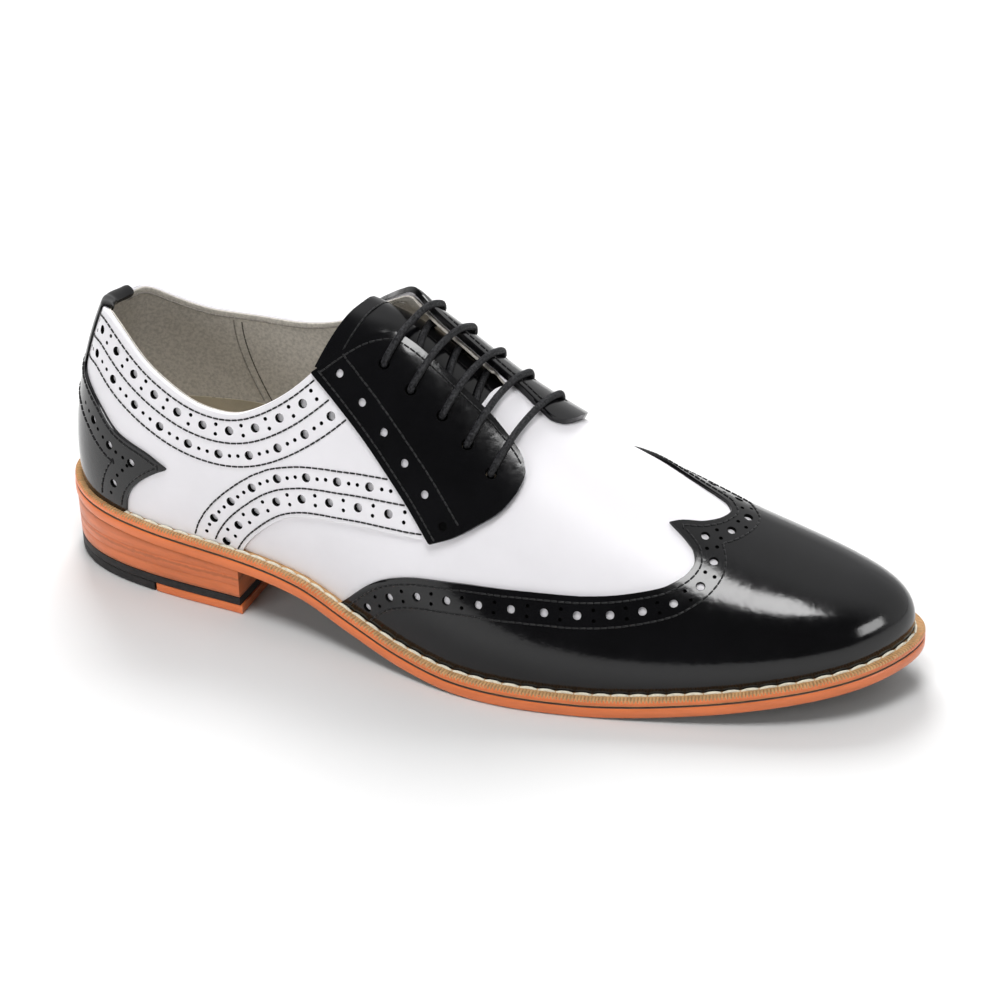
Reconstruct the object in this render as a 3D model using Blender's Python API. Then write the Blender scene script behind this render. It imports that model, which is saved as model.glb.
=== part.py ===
"""Wingtip derby shoe for the right foot, as a maker's assembly of separate solids.

Every piece of the upper is worked out from one last. A point of the last is named by its station, the
share of the way from the back seam (0) to the toe (1), positive on the lateral side and negative on the
medial side, and by its share of the girth from the feather line (0) up to the crest of the foot (1).
Tables are in millimetres, with x from the back of the heel to the toe, y to the left and z up.
"""

import math

import bmesh
import bpy
import numpy as np
from mathutils import Matrix, Vector

MM = 0.001


def table(columns, *rows):
    """A short table as named columns."""
    return dict(zip(columns.split(), np.array(rows, dtype=float).T))


# Driving sizes
GAP = 0.3
SOLE_THICKNESS = 4.2
WELT_THICKNESS = 2.6
WELT_SEAT = 2.3
SOLE_EDGE_ROUND = 0.9
UPPER_WALL = 1.6
LEATHER = 0.9
INSOLE_INSET = 2.9
INSOLE_ABOVE_WELT = 2.0
HEEL_BREAST_X = 78.0
HEEL_TIP_X = 44.0
HEEL_TIP_HEIGHT = 3.3
HEEL_RUBBER_HEIGHT = 6.4
HEEL_TAPER = 1.2
HEEL_TOP_INSET = 0.5
TONGUE_THICKNESS = 2.0
TONGUE_CLEARANCE = 0.8
LACE_RADIUS = 1.35
LACE_BEND = 1.9
LACE_CLEARANCE = 0.4
EYELET_RADIUS = 1.9
BACK_STRAP_STATION = 0.03
BACK_SEAM_STATION = 0.0006

# The last, a row for each section from the back seam to the toe tip
LAST = table(
    "station lateral_x lateral_y medial_x medial_y crest_x crest_y crest_z"
    " lateral_bulge medial_bulge rise lateral_crown medial_crown",
    (0, 7.0, 0.0, 7.0, 0.0, 56.5, 0.0, 124.0, 5.6, 5.6, 0.38, 0.64, 0.64),
    (0.034, 10.0, -9.4, 10.0, 9.4, 57.5, 0.0, 123.6, 5.6, 5.6, 0.38, 0.64, 0.64),
    (0.081, 19.4, -19.4, 19.4, 19.0, 59, 0.0, 122.5, 4.8, 4.8, 0.38, 0.715, 0.715),
    (0.148, 40.0, -27.0, 40.0, 26.0, 64, 0.0, 119.5, 5.0, 5.2, 0.36, 0.80, 0.80),
    (0.233, 68.0, -30.4, 67.0, 27.6, 79, 0.0, 115.5, 4.5, 6.0, 0.36, 0.84, 0.86),
    (0.326, 98.0, -34.0, 97.0, 25.4, 101, 0.0, 111.5, 4.0, 9.5, 0.38, 0.78, 0.86),
    (0.418, 128.0, -41.5, 126.0, 25.6, 128, 0.0, 107.5, 3.5, 13.0, 0.40, 0.58, 0.82),
    (0.511, 158.0, -49.6, 154.5, 32.0, 157, 1.0, 88.5, 3.5, 11.0, 0.40, 0.52, 0.74),
    (0.604, 186.5, -51.0, 185.0, 41.5, 187, 3.5, 72.0, 4.0, 6.5, 0.40, 0.50, 0.52),
    (0.693, 216.0, -45.6, 212.5, 44.5, 217, 7.0, 58.7, 4.0, 4.4, 0.42, 0.52, 0.40),
    (0.77, 240.0, -39.2, 237.5, 40.9, 240, 8.5, 49.9, 3.5, 3.5, 0.48, 0.56, 0.38),
    (0.837, 260.5, -32.6, 258.5, 34.0, 257, 8.5, 45.0, 3.0, 3.0, 0.54, 0.60, 0.42),
    (0.896, 277.5, -24.2, 276.5, 26.5, 270, 8.0, 41.5, 2.6, 2.6, 0.58, 0.64, 0.46),
    (0.946, 290.0, -13.0, 289.5, 18.5, 279, 6.5, 39.2, 2.4, 2.4, 0.60, 0.66, 0.52),
    (1, 297.5, 5.0, 297.5, 5.0, 282, 5.5, 38.4, 2.4, 2.4, 0.60, 0.62, 0.62),
)

# The underside of the sole: heel seat, arch, flat tread and toe spring
SOLE_PROFILE = table(
    "x bottom",
    (0, 22.0), (40, 19.4), (78, 17.0), (100, 14.2), (121, 7.9), (142, 2.7), (163, 0.2),
    (175, 0.0), (205, 0.0), (218, 0.6), (242, 3.0), (266, 6.8), (288, 10.6), (303, 13.4),
)
WELT_MARGIN = table(
    "station outset", (0, 5.2), (0.033, 5.0), (0.075, 4.7), (0.2, 4.4), (0.45, 5.0), (0.6, 5.3), (1, 5.2),
)

# Pattern lines, as shares of the girth at each station. A share over 1 has passed the crest.
OPENING = table(
    "station lateral medial",
    (0.0, 0.529, 0.529), (0.06, 0.541, 0.519), (0.10, 0.546, 0.507), (0.145, 0.513, 0.512),
    (0.178, 0.486, 0.527), (0.213, 0.460, 0.545), (0.25, 0.468, 0.565), (0.283, 0.530, 0.603),
    (0.312, 0.603, 0.655), (0.336, 0.690, 0.720), (0.353, 0.760, 0.780), (0.372, 0.820, 0.860),
    (0.386, 0.857, 0.940), (0.401, 0.890, 1.020), (0.416, 0.908, 1.037), (0.44, 0.894, 1.025),
    (0.465, 0.882, 1.033), (0.49, 0.868, 1.037), (0.508, 0.900, 1.042), (0.518, 0.950, 1.050),
)
CLOSED_LINE = table("station lateral", (0.518, 0.950), (0.60, 0.965), (0.70, 0.99), (0.78, 1.0), (1.0, 1.0))
FACING_FRONT = {
    "lateral": table(
        "station share",
        (0.40, 0.96), (0.413, 0.893), (0.43, 0.885), (0.462, 0.871), (0.496, 0.852), (0.519, 0.836),
        (0.535, 0.813), (0.549, 0.788), (0.56, 0.758), (0.567, 0.715),
    ),
    "medial": table(
        "station share",
        (0.40, 1.09), (0.415, 1.024), (0.434, 1.011), (0.463, 1.021), (0.49, 1.025), (0.526, 1.035),
        (0.555, 1.052), (0.570, 1.058), (0.581, 1.038), (0.589, 0.985), (0.592, 0.930),
    ),
}
FACING_REAR = {
    "lateral": table(
        "station share",
        (0.335, 0.684), (0.367, 0.622), (0.396, 0.566), (0.428, 0.501), (0.458, 0.439), (0.486, 0.369),
    ),
    "medial": table(
        "station share",
        (0.345, 0.705), (0.38, 0.645), (0.415, 0.585), (0.45, 0.525), (0.48, 0.470), (0.512, 0.410),
    ),
}
FACING_FOOT = {
    "lateral": table(
        "station share",
        (0.486, 0.369), (0.511, 0.426), (0.533, 0.491), (0.553, 0.562), (0.564, 0.639), (0.567, 0.690),
    ),
    "medial": table(
        "station share",
        (0.512, 0.410), (0.535, 0.480), (0.556, 0.570), (0.574, 0.680), (0.586, 0.800), (0.592, 0.900),
    ),
}
QUARTER_ARCH = {
    "lateral": table(
        "station share",
        (0.258, -0.06), (0.264, 0.0), (0.286, 0.095), (0.322, 0.194), (0.381, 0.268), (0.44, 0.330),
        (0.481, 0.376), (0.511, 0.436), (0.533, 0.501), (0.553, 0.575), (0.561, 0.66),
    ),
    "medial": table(
        "station share",
        (0.258, -0.06), (0.264, 0.0), (0.286, 0.095), (0.322, 0.194), (0.381, 0.268), (0.44, 0.335),
        (0.50, 0.405), (0.535, 0.492), (0.556, 0.585), (0.574, 0.695), (0.585, 0.820),
    ),
}
COUNTER_TOP = table(
    "station share", (0, 0.365), (0.054, 0.331), (0.093, 0.296), (0.123, 0.256), (0.157, 0.242),
    (0.181, 0.217),
)
COUNTER_FRONT = table(
    "station share", (0.125, -0.06), (0.130, 0.040), (0.142, 0.107), (0.171, 0.192), (0.181, 0.212),
)

# The wing's edge, with girth measured from the crest: lateral is negative, medial positive
WING_LATERAL = table(
    "girth station",
    (-1.05, 0.37), (-0.989, 0.386), (-0.848, 0.426), (-0.776, 0.460), (-0.702, 0.524), (-0.662, 0.591),
    (-0.631, 0.648), (-0.584, 0.692), (-0.524, 0.724), (-0.439, 0.741), (-0.402, 0.743),
    (-0.343, 0.738), (-0.298, 0.726), (-0.245, 0.705),
)
WING_MEDIAL = table(
    "girth station",
    (-0.245, 0.705), (-0.217, 0.714), (-0.178, 0.735), (-0.105, 0.751), (-0.05, 0.755), (0.0, 0.747),
    (0.025, 0.731), (0.045, 0.708), (0.07, 0.685), (0.10, 0.667), (0.14, 0.652), (0.20, 0.638),
    (0.30, 0.622), (0.42, 0.604), (0.50, 0.586), (0.60, 0.547), (0.70, 0.487), (0.80, 0.437),
    (0.90, 0.402), (1.05, 0.37),
)
EYELETS = {
    "lateral": table(
        "station share", (0.409, 0.785), (0.440, 0.756), (0.475, 0.742), (0.505, 0.708), (0.535, 0.664),
    ),
    "medial": table(
        "station share", (0.434, 0.900), (0.468, 0.890), (0.500, 0.890), (0.531, 0.887), (0.565, 0.895),
    ),
}
SIDES = {"lateral": 1, "medial": -1}

# The tongue from top to tucked end, with its edges measured from the crest
TONGUE = table(
    "along lateral medial sink", (0, -0.30, 0.04, 0.3), (0.15, -0.30, 0.02, 1.2), (0.4, -0.30, 0.12, 1.4),
    (1, -0.26, 0.12, 1.4),
)
TONGUE_TOP_STATION = 0.36
TONGUE_TOP_SKEW = 0.097
TONGUE_END_STATION = 0.60
TONGUE_FLARE = 3.0
TONGUE_FLARE_LENGTH = 0.07

# Leather levels above the last, from the wall outwards
QUARTER_LEVEL = (GAP, GAP + LEATHER)
FACING_LEVEL = (2 * GAP + LEATHER, 2 * (GAP + LEATHER))
CUTTER_REACH = 1.0

# Mesh fineness
SHELL_STATIONS = 23
SHELL_ROWS = 9
END_CROWDING = 0.45
SOLE_STATIONS = 36

COLOURS = {
    "white_leather": (0.82, 0.80, 0.84, 0.42),
    "black_leather": (0.012, 0.012, 0.014, 0.22),
    "orange_leather": (0.62, 0.20, 0.075, 0.5),
    "welt_leather": (0.36, 0.21, 0.10, 0.6),
    "stacked_leather": (0.50, 0.21, 0.09, 0.5),
    "black_rubber": (0.025, 0.024, 0.023, 0.7),
    "lining_leather": (0.42, 0.39, 0.34, 0.85),
    "lace_cord": (0.012, 0.012, 0.013, 0.45),
}


# Curves through table points


def closed_spline(knots, values, period):
    """A curve with even curvature through points round a closed loop."""
    count = len(knots)
    span = np.diff(np.append(knots, knots[0] + period))
    system = np.zeros((count, count))
    bends = np.zeros_like(values)
    for i in range(count):
        before, after = span[i - 1], span[i]
        following = (i + 1) % count
        system[i, i - 1] += before
        system[i, i] += 2 * (before + after)
        system[i, following] += after
        bends[i] = 6 * ((values[following] - values[i]) / after - (values[i] - values[i - 1]) / before)
    bends = np.linalg.solve(system, bends)

    def curve(at):
        at = (np.asarray(at, dtype=float) - knots[0]) % period + knots[0]
        i = np.clip(np.searchsorted(knots, at, "right") - 1, 0, count - 1)
        j = (i + 1) % count
        width = span[i][:, None]
        past = (at - knots[i])[:, None]
        left = width - past
        cubic = (bends[i] * left**3 + bends[j] * past**3) / (6 * width)
        line = (values[i] / width - bends[i] * width / 6) * left
        return cubic + line + (values[j] / width - bends[j] * width / 6) * past

    return curve


def smooth_line(x, y):
    """A smooth curve through table points that never swings past them."""
    width = np.diff(x)
    rise = np.diff(y) / width
    before, after = rise[:-1], rise[1:]
    same_way = before * after > 0
    slope = np.zeros(len(x))
    slope[0], slope[-1] = rise[0], rise[-1]
    slope[1:-1] = np.where(same_way, 2 * before * after / np.where(same_way, before + after, 1.0), 0.0)

    def curve(at):
        at = np.clip(at, x[0], x[-1])
        i = np.clip(np.searchsorted(x, at, "right") - 1, 0, len(width) - 1)
        t = (at - x[i]) / width[i]
        ends = (2 * t**3 - 3 * t**2 + 1) * y[i] + (3 * t**2 - 2 * t**3) * y[i + 1]
        return ends + width[i] * ((t**3 - 2 * t**2 + t) * slope[i] + (t**3 - t**2) * slope[i + 1])

    return curve


def line_of(columns, x="station", y="share"):
    return smooth_line(columns[x], columns[y])


sole_bottom = line_of(SOLE_PROFILE, "x", "bottom")
welt_margin = line_of(WELT_MARGIN, "station", "outset")
opening = {side: line_of(OPENING, "station", side) for side in SIDES}
closed_line = line_of(CLOSED_LINE, "station", "lateral")
facing_front = {side: line_of(FACING_FRONT[side]) for side in SIDES}
facing_rear = {side: line_of(FACING_REAR[side]) for side in SIDES}
facing_foot = {side: line_of(FACING_FOOT[side]) for side in SIDES}
quarter_arch = {side: line_of(QUARTER_ARCH[side]) for side in SIDES}
counter_top = line_of(COUNTER_TOP)
counter_front = line_of(COUNTER_FRONT)
wing_lateral = line_of(WING_LATERAL, "girth", "station")
wing_medial = line_of(WING_MEDIAL, "girth", "station")
tongue_edge = {side: line_of(TONGUE, "along", side) for side in SIDES}
tongue_sink = line_of(TONGUE, "along", "sink")

THROAT_STATION = OPENING["station"][-1]


# The last


def last_loop():
    """All columns of the last as one curve round the shoe, medial stations negative."""
    sides = {
        "x": ("lateral_x", "medial_x"),
        "y": ("lateral_y", "medial_y"),
        "crest_x": ("crest_x", "crest_x"),
        "crest_y": ("crest_y", "crest_y"),
        "crest_z": ("crest_z", "crest_z"),
        "bulge": ("lateral_bulge", "medial_bulge"),
        "rise": ("rise", "rise"),
        "crown": ("lateral_crown", "medial_crown"),
    }
    stations = LAST["station"]
    knots = np.append(-stations[:0:-1], stations[:-1])
    columns = [np.append(LAST[medial][:0:-1], LAST[lateral][:-1]) for lateral, medial in sides.values()]
    return closed_spline(knots, np.stack(columns, axis=-1), 2.0)


loop_at = last_loop()
SLOPE_STEP = 0.002
NORMAL_STEP = 0.002
SECTION_STEPS = 40


def welt_top(x):
    return sole_bottom(x) + SOLE_THICKNESS + WELT_THICKNESS


def sections(station):
    """Each station's feather point, level direction to the crest, and arch as Bezier points across and up."""
    row = loop_at(station)
    feather = np.column_stack([row[:, 0], row[:, 1], welt_top(row[:, 0])])
    crest = row[:, 2:5]
    bulge, rise, crown = row[:, 5], row[:, 6], row[:, 7]
    along = np.abs(station)
    step = np.where(along < 0.5, SLOPE_STEP, -SLOPE_STEP)
    ahead = loop_at(along + step)[:, 2:5] - crest
    crest_slope = np.clip(ahead[:, 2] / ahead[:, 0], -0.9, 0.4)
    inward = crest[:, :2] - feather[:, :2]
    reach = np.linalg.norm(inward, axis=1)
    inward = inward / reach[:, None]
    height = crest[:, 2] - feather[:, 2]
    arch = np.zeros((len(row), 4, 2))
    arch[:, 1] = np.column_stack([-bulge, rise * height])
    flat = crown * reach
    arch[:, 2] = np.column_stack([reach - flat, height - flat * inward[:, 0] * crest_slope])
    arch[:, 3] = np.column_stack([reach, height])
    return feather, inward, arch


def arch_point(arch, t):
    t = t[..., None]
    s = 1 - t
    return (
        s**3 * arch[..., 0, :]
        + 3 * s**2 * t * arch[..., 1, :]
        + 3 * s * t**2 * arch[..., 2, :]
        + t**3 * arch[..., 3, :]
    )


def bare_skin(station, share):
    """Points on the last. A share over 1 passes the crest to the other side, and one under 0 runs on below."""
    station = (np.where(share > 1, -station, station) + 1) % 2 - 1
    share = np.where(share > 1, 2 - share, share)
    feather, inward, arch = sections(station)
    steps = np.linspace(0, 1, SECTION_STEPS + 1)
    traced = arch_point(arch[:, None], np.broadcast_to(steps, (len(station), len(steps))))
    pieces = np.linalg.norm(np.diff(traced, axis=1), axis=2)
    length = np.concatenate([np.zeros((len(station), 1)), np.cumsum(pieces, axis=1)], axis=1)
    girth = length[:, -1]
    target = np.clip(share, 0, 1) * girth
    i = np.clip((length <= target[:, None]).sum(axis=1) - 1, 0, SECTION_STEPS - 1)
    each = np.arange(len(station))
    t = (i + (target - length[each, i]) / pieces[each, i]) / SECTION_STEPS
    start = arch[:, 1] / np.linalg.norm(arch[:, 1], axis=1)[:, None]
    across = arch_point(arch, t) + start * (np.minimum(share, 0) * girth)[:, None]
    return np.column_stack([feather[:, :2] + inward * across[:, :1], feather[:, 2] + across[:, 1]])


def skin(station, share, lift=0.0):
    """Points of the last lifted along its outward normal, in the shape of the arguments."""
    station, share, lift = np.broadcast_arrays(*(np.asarray(a, dtype=float) for a in (station, share, lift)))
    shape = station.shape
    station, share, lift = station.ravel(), share.ravel(), lift.ravel()
    at_toe_tip = (np.abs(station) > 1 - NORMAL_STEP) & (share > 1 - 4 * NORMAL_STEP)
    aim = np.where(at_toe_tip, 1 - 4 * NORMAL_STEP, share)
    along = bare_skin(station + NORMAL_STEP, aim) - bare_skin(station - NORMAL_STEP, aim)
    up = bare_skin(station, aim + NORMAL_STEP) - bare_skin(station, aim - NORMAL_STEP)
    normal = np.cross(along, up)
    normal /= np.linalg.norm(normal, axis=1)[:, None]
    return (bare_skin(station, share) + normal * lift[:, None]).reshape(shape + (3,))


def skin_over_crest(station, girth, lift=0.0):
    """As skin, with girth measured from the crest: lateral negative, medial positive."""
    return skin(np.where(girth <= 0, station, -station), 1 - np.abs(girth), lift)


def outline(station, outset):
    """Plan points of the feather line moved outwards."""
    station = np.asarray(station, dtype=float)
    ahead = loop_at(station + NORMAL_STEP)[:, :2] - loop_at(station - NORMAL_STEP)[:, :2]
    normal = np.column_stack([ahead[:, 1], -ahead[:, 0]]) / np.linalg.norm(ahead, axis=1)[:, None]
    return loop_at(station)[:, :2] + normal * np.reshape(outset, (-1, 1))


def sole_outline(station, outset=0.0):
    return outline(station, welt_margin(np.abs(station)) + outset)


# Meshes


def clear_scene():
    for obj in list(bpy.data.objects):
        bpy.data.objects.remove(obj)


def new_collection(name):
    collection = bpy.data.collections.new(name)
    bpy.context.scene.collection.children.link(collection)
    return collection


def material(name):
    found = bpy.data.materials.get(name)
    if found:
        return found
    red, green, blue, roughness = COLOURS[name]
    made = bpy.data.materials.new(name)
    made.use_nodes = True
    shader = made.node_tree.nodes["Principled BSDF"]
    shader.inputs["Base Color"].default_value = (red, green, blue, 1.0)
    shader.inputs["Roughness"].default_value = roughness
    made.diffuse_color = (red, green, blue, 1.0)
    return made


def add_object(name, mesh, colour):
    obj = bpy.data.objects.new(name, mesh)
    if colour:
        mesh.materials.append(material(colour))
        mesh.shade_smooth()
        mesh.set_sharp_from_angle(angle=math.radians(35))
        parts.objects.link(obj)
    else:
        obj.hide_render = True
        obj.display_type = "WIRE"
        cutters.objects.link(obj)
    obj.parent = origin
    return obj


def mesh_of(name, points, faces):
    """A closed mesh from points in millimetres, with shared points joined and faces turned outwards."""
    mesh = bpy.data.meshes.new(name)
    mesh.from_pydata(np.asarray(points) * MM, [], faces)
    shape = bmesh.new()
    shape.from_mesh(mesh)
    bmesh.ops.remove_doubles(shape, verts=shape.verts, dist=2e-6)
    bmesh.ops.dissolve_degenerate(shape, edges=shape.edges, dist=2e-6)
    bmesh.ops.recalc_face_normals(shape, faces=shape.faces)
    shape.to_mesh(mesh)
    shape.free()
    return mesh


def sheet_faces(grid):
    """Triangles over a grid of point numbers, split the same way on every sheet so that levels keep apart."""
    corners = grid[:-1, :-1].ravel(), grid[1:, :-1].ravel(), grid[1:, 1:].ravel(), grid[:-1, 1:].ravel()
    first, up, across, along = corners
    return list(zip(first, up, across)) + list(zip(first, across, along))


def slab_mesh(name, inner, outer, edges="first_row last_row first_column last_column"):
    """A closed sheet between two grids of points. An edge not named is shared with another edge."""
    rows, columns = inner.shape[:2]
    low = np.arange(rows * columns).reshape(rows, columns)
    high = low + rows * columns
    faces = sheet_faces(low) + sheet_faces(high)
    borders = {
        "first_row": (low[0], high[0]),
        "last_row": (low[-1], high[-1]),
        "first_column": (low[:, 0], high[:, 0]),
        "last_column": (low[:, -1], high[:, -1]),
    }
    for edge in edges.split():
        bottom, top = borders[edge]
        faces += [(bottom[i], bottom[i + 1], top[i + 1], top[i]) for i in range(len(bottom) - 1)]
    return mesh_of(name, np.concatenate([inner.reshape(-1, 3), outer.reshape(-1, 3)]), faces)


def ring_mesh(name, rings, capped=True):
    """Rings of points joined one to the next. Capped rings run out one side and back along the other."""
    count = len(rings[0])
    points = np.concatenate(rings)
    faces = []
    laps = len(rings) - 1 if capped else len(rings)
    for lap in range(laps):
        here, there = lap * count, (lap + 1) % len(rings) * count
        for i in range(count):
            j = (i + 1) % count
            faces.append((here + i, here + j, there + j, there + i))
    if capped:
        half = count // 2
        for first in (0, laps * count):
            for i in range(half):
                corners = [first + i, first + i + 1, first + count - i - 1, first + (count - i) % count]
                faces.append(tuple(dict.fromkeys(corners)))
    return mesh_of(name, points, faces)


def cut(obj, cutter, operation):
    modifier = obj.modifiers.new(f"{operation.lower()} {cutter.name}", "BOOLEAN")
    modifier.operation = operation
    modifier.object = cutter
    modifier.solver = "EXACT"


# Sole and heel


def loop_stations(count):
    """Stations round the sole: back seam, lateral side, toe, medial side."""
    side = crowded(count)
    return np.append(side, -side[-2:0:-1])


def crowded(count):
    """Even steps from 0 to 1, drawn together at both ends where the outline turns."""
    steps = np.linspace(0, 1, count)
    return steps - END_CROWDING * np.sin(2 * np.pi * steps) / (2 * np.pi)


def ring_at(station, outset, height):
    """A ring of the sole outline, raised from the sole's underside."""
    plan = sole_outline(station, outset)
    return np.column_stack([plan, sole_bottom(plan[:, 0]) + height])


def make_outsole():
    around = loop_stations(SOLE_STATIONS)
    profile = (
        (-SOLE_EDGE_ROUND, 0.0),
        (0.0, SOLE_EDGE_ROUND),
        (0.0, SOLE_THICKNESS - GAP),
        (-GAP, SOLE_THICKNESS),
    )
    rings = [ring_at(around, outset, height) for outset, height in profile]
    add_object("outsole", ring_mesh("outsole", rings), "orange_leather")


def make_welt():
    around = loop_stations(SOLE_STATIONS)
    seat = -welt_margin(np.abs(around)) - WELT_SEAT
    low, high = SOLE_THICKNESS + GAP, SOLE_THICKNESS + WELT_THICKNESS
    rings = [
        ring_at(around, seat, low),
        ring_at(around, -GAP, low),
        ring_at(around, -SOLE_EDGE_ROUND, high),
        ring_at(around, seat, high),
    ]
    add_object("welt", ring_mesh("welt", rings, capped=False), "welt_leather")


def make_insole():
    around = loop_stations(SOLE_STATIONS)
    inset = -welt_margin(np.abs(around)) - INSOLE_INSET
    top = SOLE_THICKNESS + WELT_THICKNESS + INSOLE_ABOVE_WELT
    rings = [ring_at(around, inset, SOLE_THICKNESS + GAP), ring_at(around, inset, top)]
    add_object("insole", ring_mesh("insole", rings), "lining_leather")


def station_at_x(x, side):
    """The station where one side of the heel's outline reaches x."""
    tried = np.linspace(0, 0.5, 200)
    return np.interp(x, sole_outline(side * tried)[:, 0], tried)


def heel_block(name, front_x, bottom, top, colour, back_x=None):
    """A slice of the heel from back_x, or from its round back, to front_x, tapering to the floor."""
    shares = crowded(SOLE_STATIONS // 3)
    rounded = back_x is None
    sides = []
    for side in (1, -1):
        start = 0.0 if rounded else station_at_x(back_x, side)
        sides.append(side * (start + (station_at_x(front_x, side) - start) * shares))
    lateral, medial = sides
    around = np.append(lateral, medial[:0:-1] if rounded else medial[::-1])
    rings = []
    for level in (bottom, top):
        height = level(sole_outline(around)[:, 0])
        taper = -HEEL_TOP_INSET - HEEL_TAPER * (1 - height / SOLE_PROFILE["bottom"][0])
        rings.append(np.column_stack([sole_outline(around, taper), height]))
    count = len(around)
    points = np.concatenate(rings)
    faces = []
    for i in range(count):
        j = (i + 1) % count
        faces.append((i, j, count + j, count + i))
    for first in (0, count):
        if rounded:
            pairs = [(i, (count - i) % count) for i in range(len(lateral))]
        else:
            pairs = [(i, count - 1 - i) for i in range(len(lateral))]
        for (a, b), (c, d) in zip(pairs, pairs[1:]):
            faces.append(tuple(dict.fromkeys((first + a, first + c, first + d, first + b))))
    return add_object(name, mesh_of(name, points, faces), colour)


def level_at(height):
    return lambda x: np.full_like(x, height)


def box_cutter(name, low, high):
    mesh = bpy.data.meshes.new(name)
    shape = bmesh.new()
    low, high = Vector(low) * MM, Vector(high) * MM
    placed = Matrix.Translation((low + high) / 2) @ Matrix.Diagonal((*(high - low), 1.0))
    bmesh.ops.create_cube(shape, size=1.0, matrix=placed)
    shape.to_mesh(mesh)
    shape.free()
    return add_object(name, mesh, None)


def make_heel():
    heel_block(
        "heel_stack",
        HEEL_BREAST_X,
        level_at(HEEL_RUBBER_HEIGHT + GAP),
        lambda x: sole_bottom(x) - GAP,
        "stacked_leather",
    )
    rubber = heel_block(
        "heel_rubber", HEEL_BREAST_X, level_at(0.0), level_at(HEEL_RUBBER_HEIGHT), "black_rubber"
    )
    side = 2 * HEEL_BREAST_X
    step = box_cutter(
        "tip_seat", (HEEL_TIP_X, -side, -side), (HEEL_TIP_X + side, side, HEEL_TIP_HEIGHT + GAP)
    )
    cut(rubber, step, "DIFFERENCE")
    heel_block(
        "heel_tip",
        HEEL_BREAST_X,
        level_at(0.0),
        level_at(HEEL_TIP_HEIGHT),
        "orange_leather",
        back_x=HEEL_TIP_X + GAP,
    )


# The upper and what is laid over it


def opening_edge(station):
    """The share of the girth at which each side's wall ends: collar, throat, then where the sides join."""
    along = np.abs(station)
    joined = np.where(station >= 0, closed_line(along), 2 - closed_line(along))
    open_edge = np.where(station >= 0, opening["lateral"](along), opening["medial"](along))
    return np.where(along < THROAT_STATION, open_edge, joined)


def shell_mesh(name, low_lift, high_lift):
    """The whole upper as a wall between two levels above the last, open at collar, throat and feather."""
    corners = OPENING["station"][[9, 11, 13, 14, 16, 18, 19]]
    even = crowded(SHELL_STATIONS)
    apart = np.abs(even[:, None] - corners[None]).min(axis=1) > 0.012
    side = np.unique(np.round(np.append(even[apart], corners), 6))
    around = np.append(-side[::-1], side[1:])
    shares = np.linspace(0, 1, SHELL_ROWS)[:, None] * opening_edge(around)[None]
    grids = []
    for lift in (low_lift, high_lift):
        grid = skin(np.broadcast_to(around, shares.shape), shares, lift)
        grid[0, :, 2] = welt_top(grid[0, :, 0]) + GAP
        grids.append(grid)
    inner, outer = grids
    rows, columns = shares.shape
    low = np.arange(rows * columns).reshape(rows, columns)
    high = low + rows * columns
    faces = sheet_faces(low) + sheet_faces(high)
    for j in range(columns - 1):
        faces.append((low[0, j], low[0, j + 1], high[0, j + 1], high[0, j]))
        if max(abs(around[j]), abs(around[j + 1])) <= THROAT_STATION + 1e-6:
            faces.append((low[-1, j], low[-1, j + 1], high[-1, j + 1], high[-1, j]))
    return mesh_of(name, np.concatenate([inner.reshape(-1, 3), outer.reshape(-1, 3)]), faces)


def outline_cutter(name, station, lower, upper, level, rows=8):
    """A thick sheet over part of the last, through which a wall is cut to a pattern's outline."""
    fill = np.linspace(0, 1, rows)[:, None]
    shares = lower[None] + fill * (upper - lower)[None]
    placed = np.broadcast_to(station, shares.shape)
    inner = skin(placed, shares, level[0] - CUTTER_REACH)
    outer = skin(placed, shares, level[1] + CUTTER_REACH)
    return add_object(name, slab_mesh(name, inner, outer), None)


def overlay(name, cutter, level, colour):
    """A piece cut to a pattern's outline between two larger forms of the last."""
    obj = add_object(name, shell_mesh(name, *level), colour)
    cut(obj, cutter, "INTERSECT")
    return obj


def make_quarter(side):
    sign = SIDES[side]
    tip = QUARTER_ARCH[side]["station"][-1]
    station = np.concatenate([
        np.linspace(BACK_SEAM_STATION, 0.25, 8),
        np.linspace(0.258, 0.40, 9),
        np.linspace(0.415, tip, 11),
    ])
    past_edge = opening_edge(sign * station) + 0.06
    upper = np.where(station < 0.41, past_edge, facing_front[side](station) - 0.008)
    lower = quarter_arch[side](station)
    cutter = outline_cutter(f"quarter_{side}_outline", sign * station, lower, upper, QUARTER_LEVEL)
    return overlay(f"quarter_{side}", cutter, QUARTER_LEVEL, "white_leather")


def make_facing(side):
    sign = SIDES[side]
    rear, foot = FACING_REAR[side]["station"], FACING_FOOT[side]["station"]
    station = np.concatenate([
        np.linspace(rear[0], 0.40, 6),
        np.linspace(0.415, rear[-1], 6),
        np.linspace(foot[0], foot[-1], 9)[1:],
    ])
    past_edge = opening_edge(sign * station) + 0.06
    upper = np.where(station < 0.41, past_edge, facing_front[side](station))
    lower = np.where(station <= rear[-1], facing_rear[side](station), facing_foot[side](station))
    cutter = outline_cutter(f"facing_{side}_outline", sign * station, lower, upper, FACING_LEVEL)
    return overlay(f"facing_{side}", cutter, FACING_LEVEL, "black_leather")


def make_heel_counter():
    front = COUNTER_FRONT["station"]
    side = np.concatenate([np.linspace(0, front[0], 8), np.linspace(front[0], front[-1], 6)[1:]])
    station = np.append(-side[:0:-1], side)
    lower, upper = counter_front(np.abs(station)), counter_top(np.abs(station))
    cutter = outline_cutter("heel_counter_outline", station, lower, upper, FACING_LEVEL)
    overlay("heel_counter", cutter, FACING_LEVEL, "black_leather")


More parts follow.
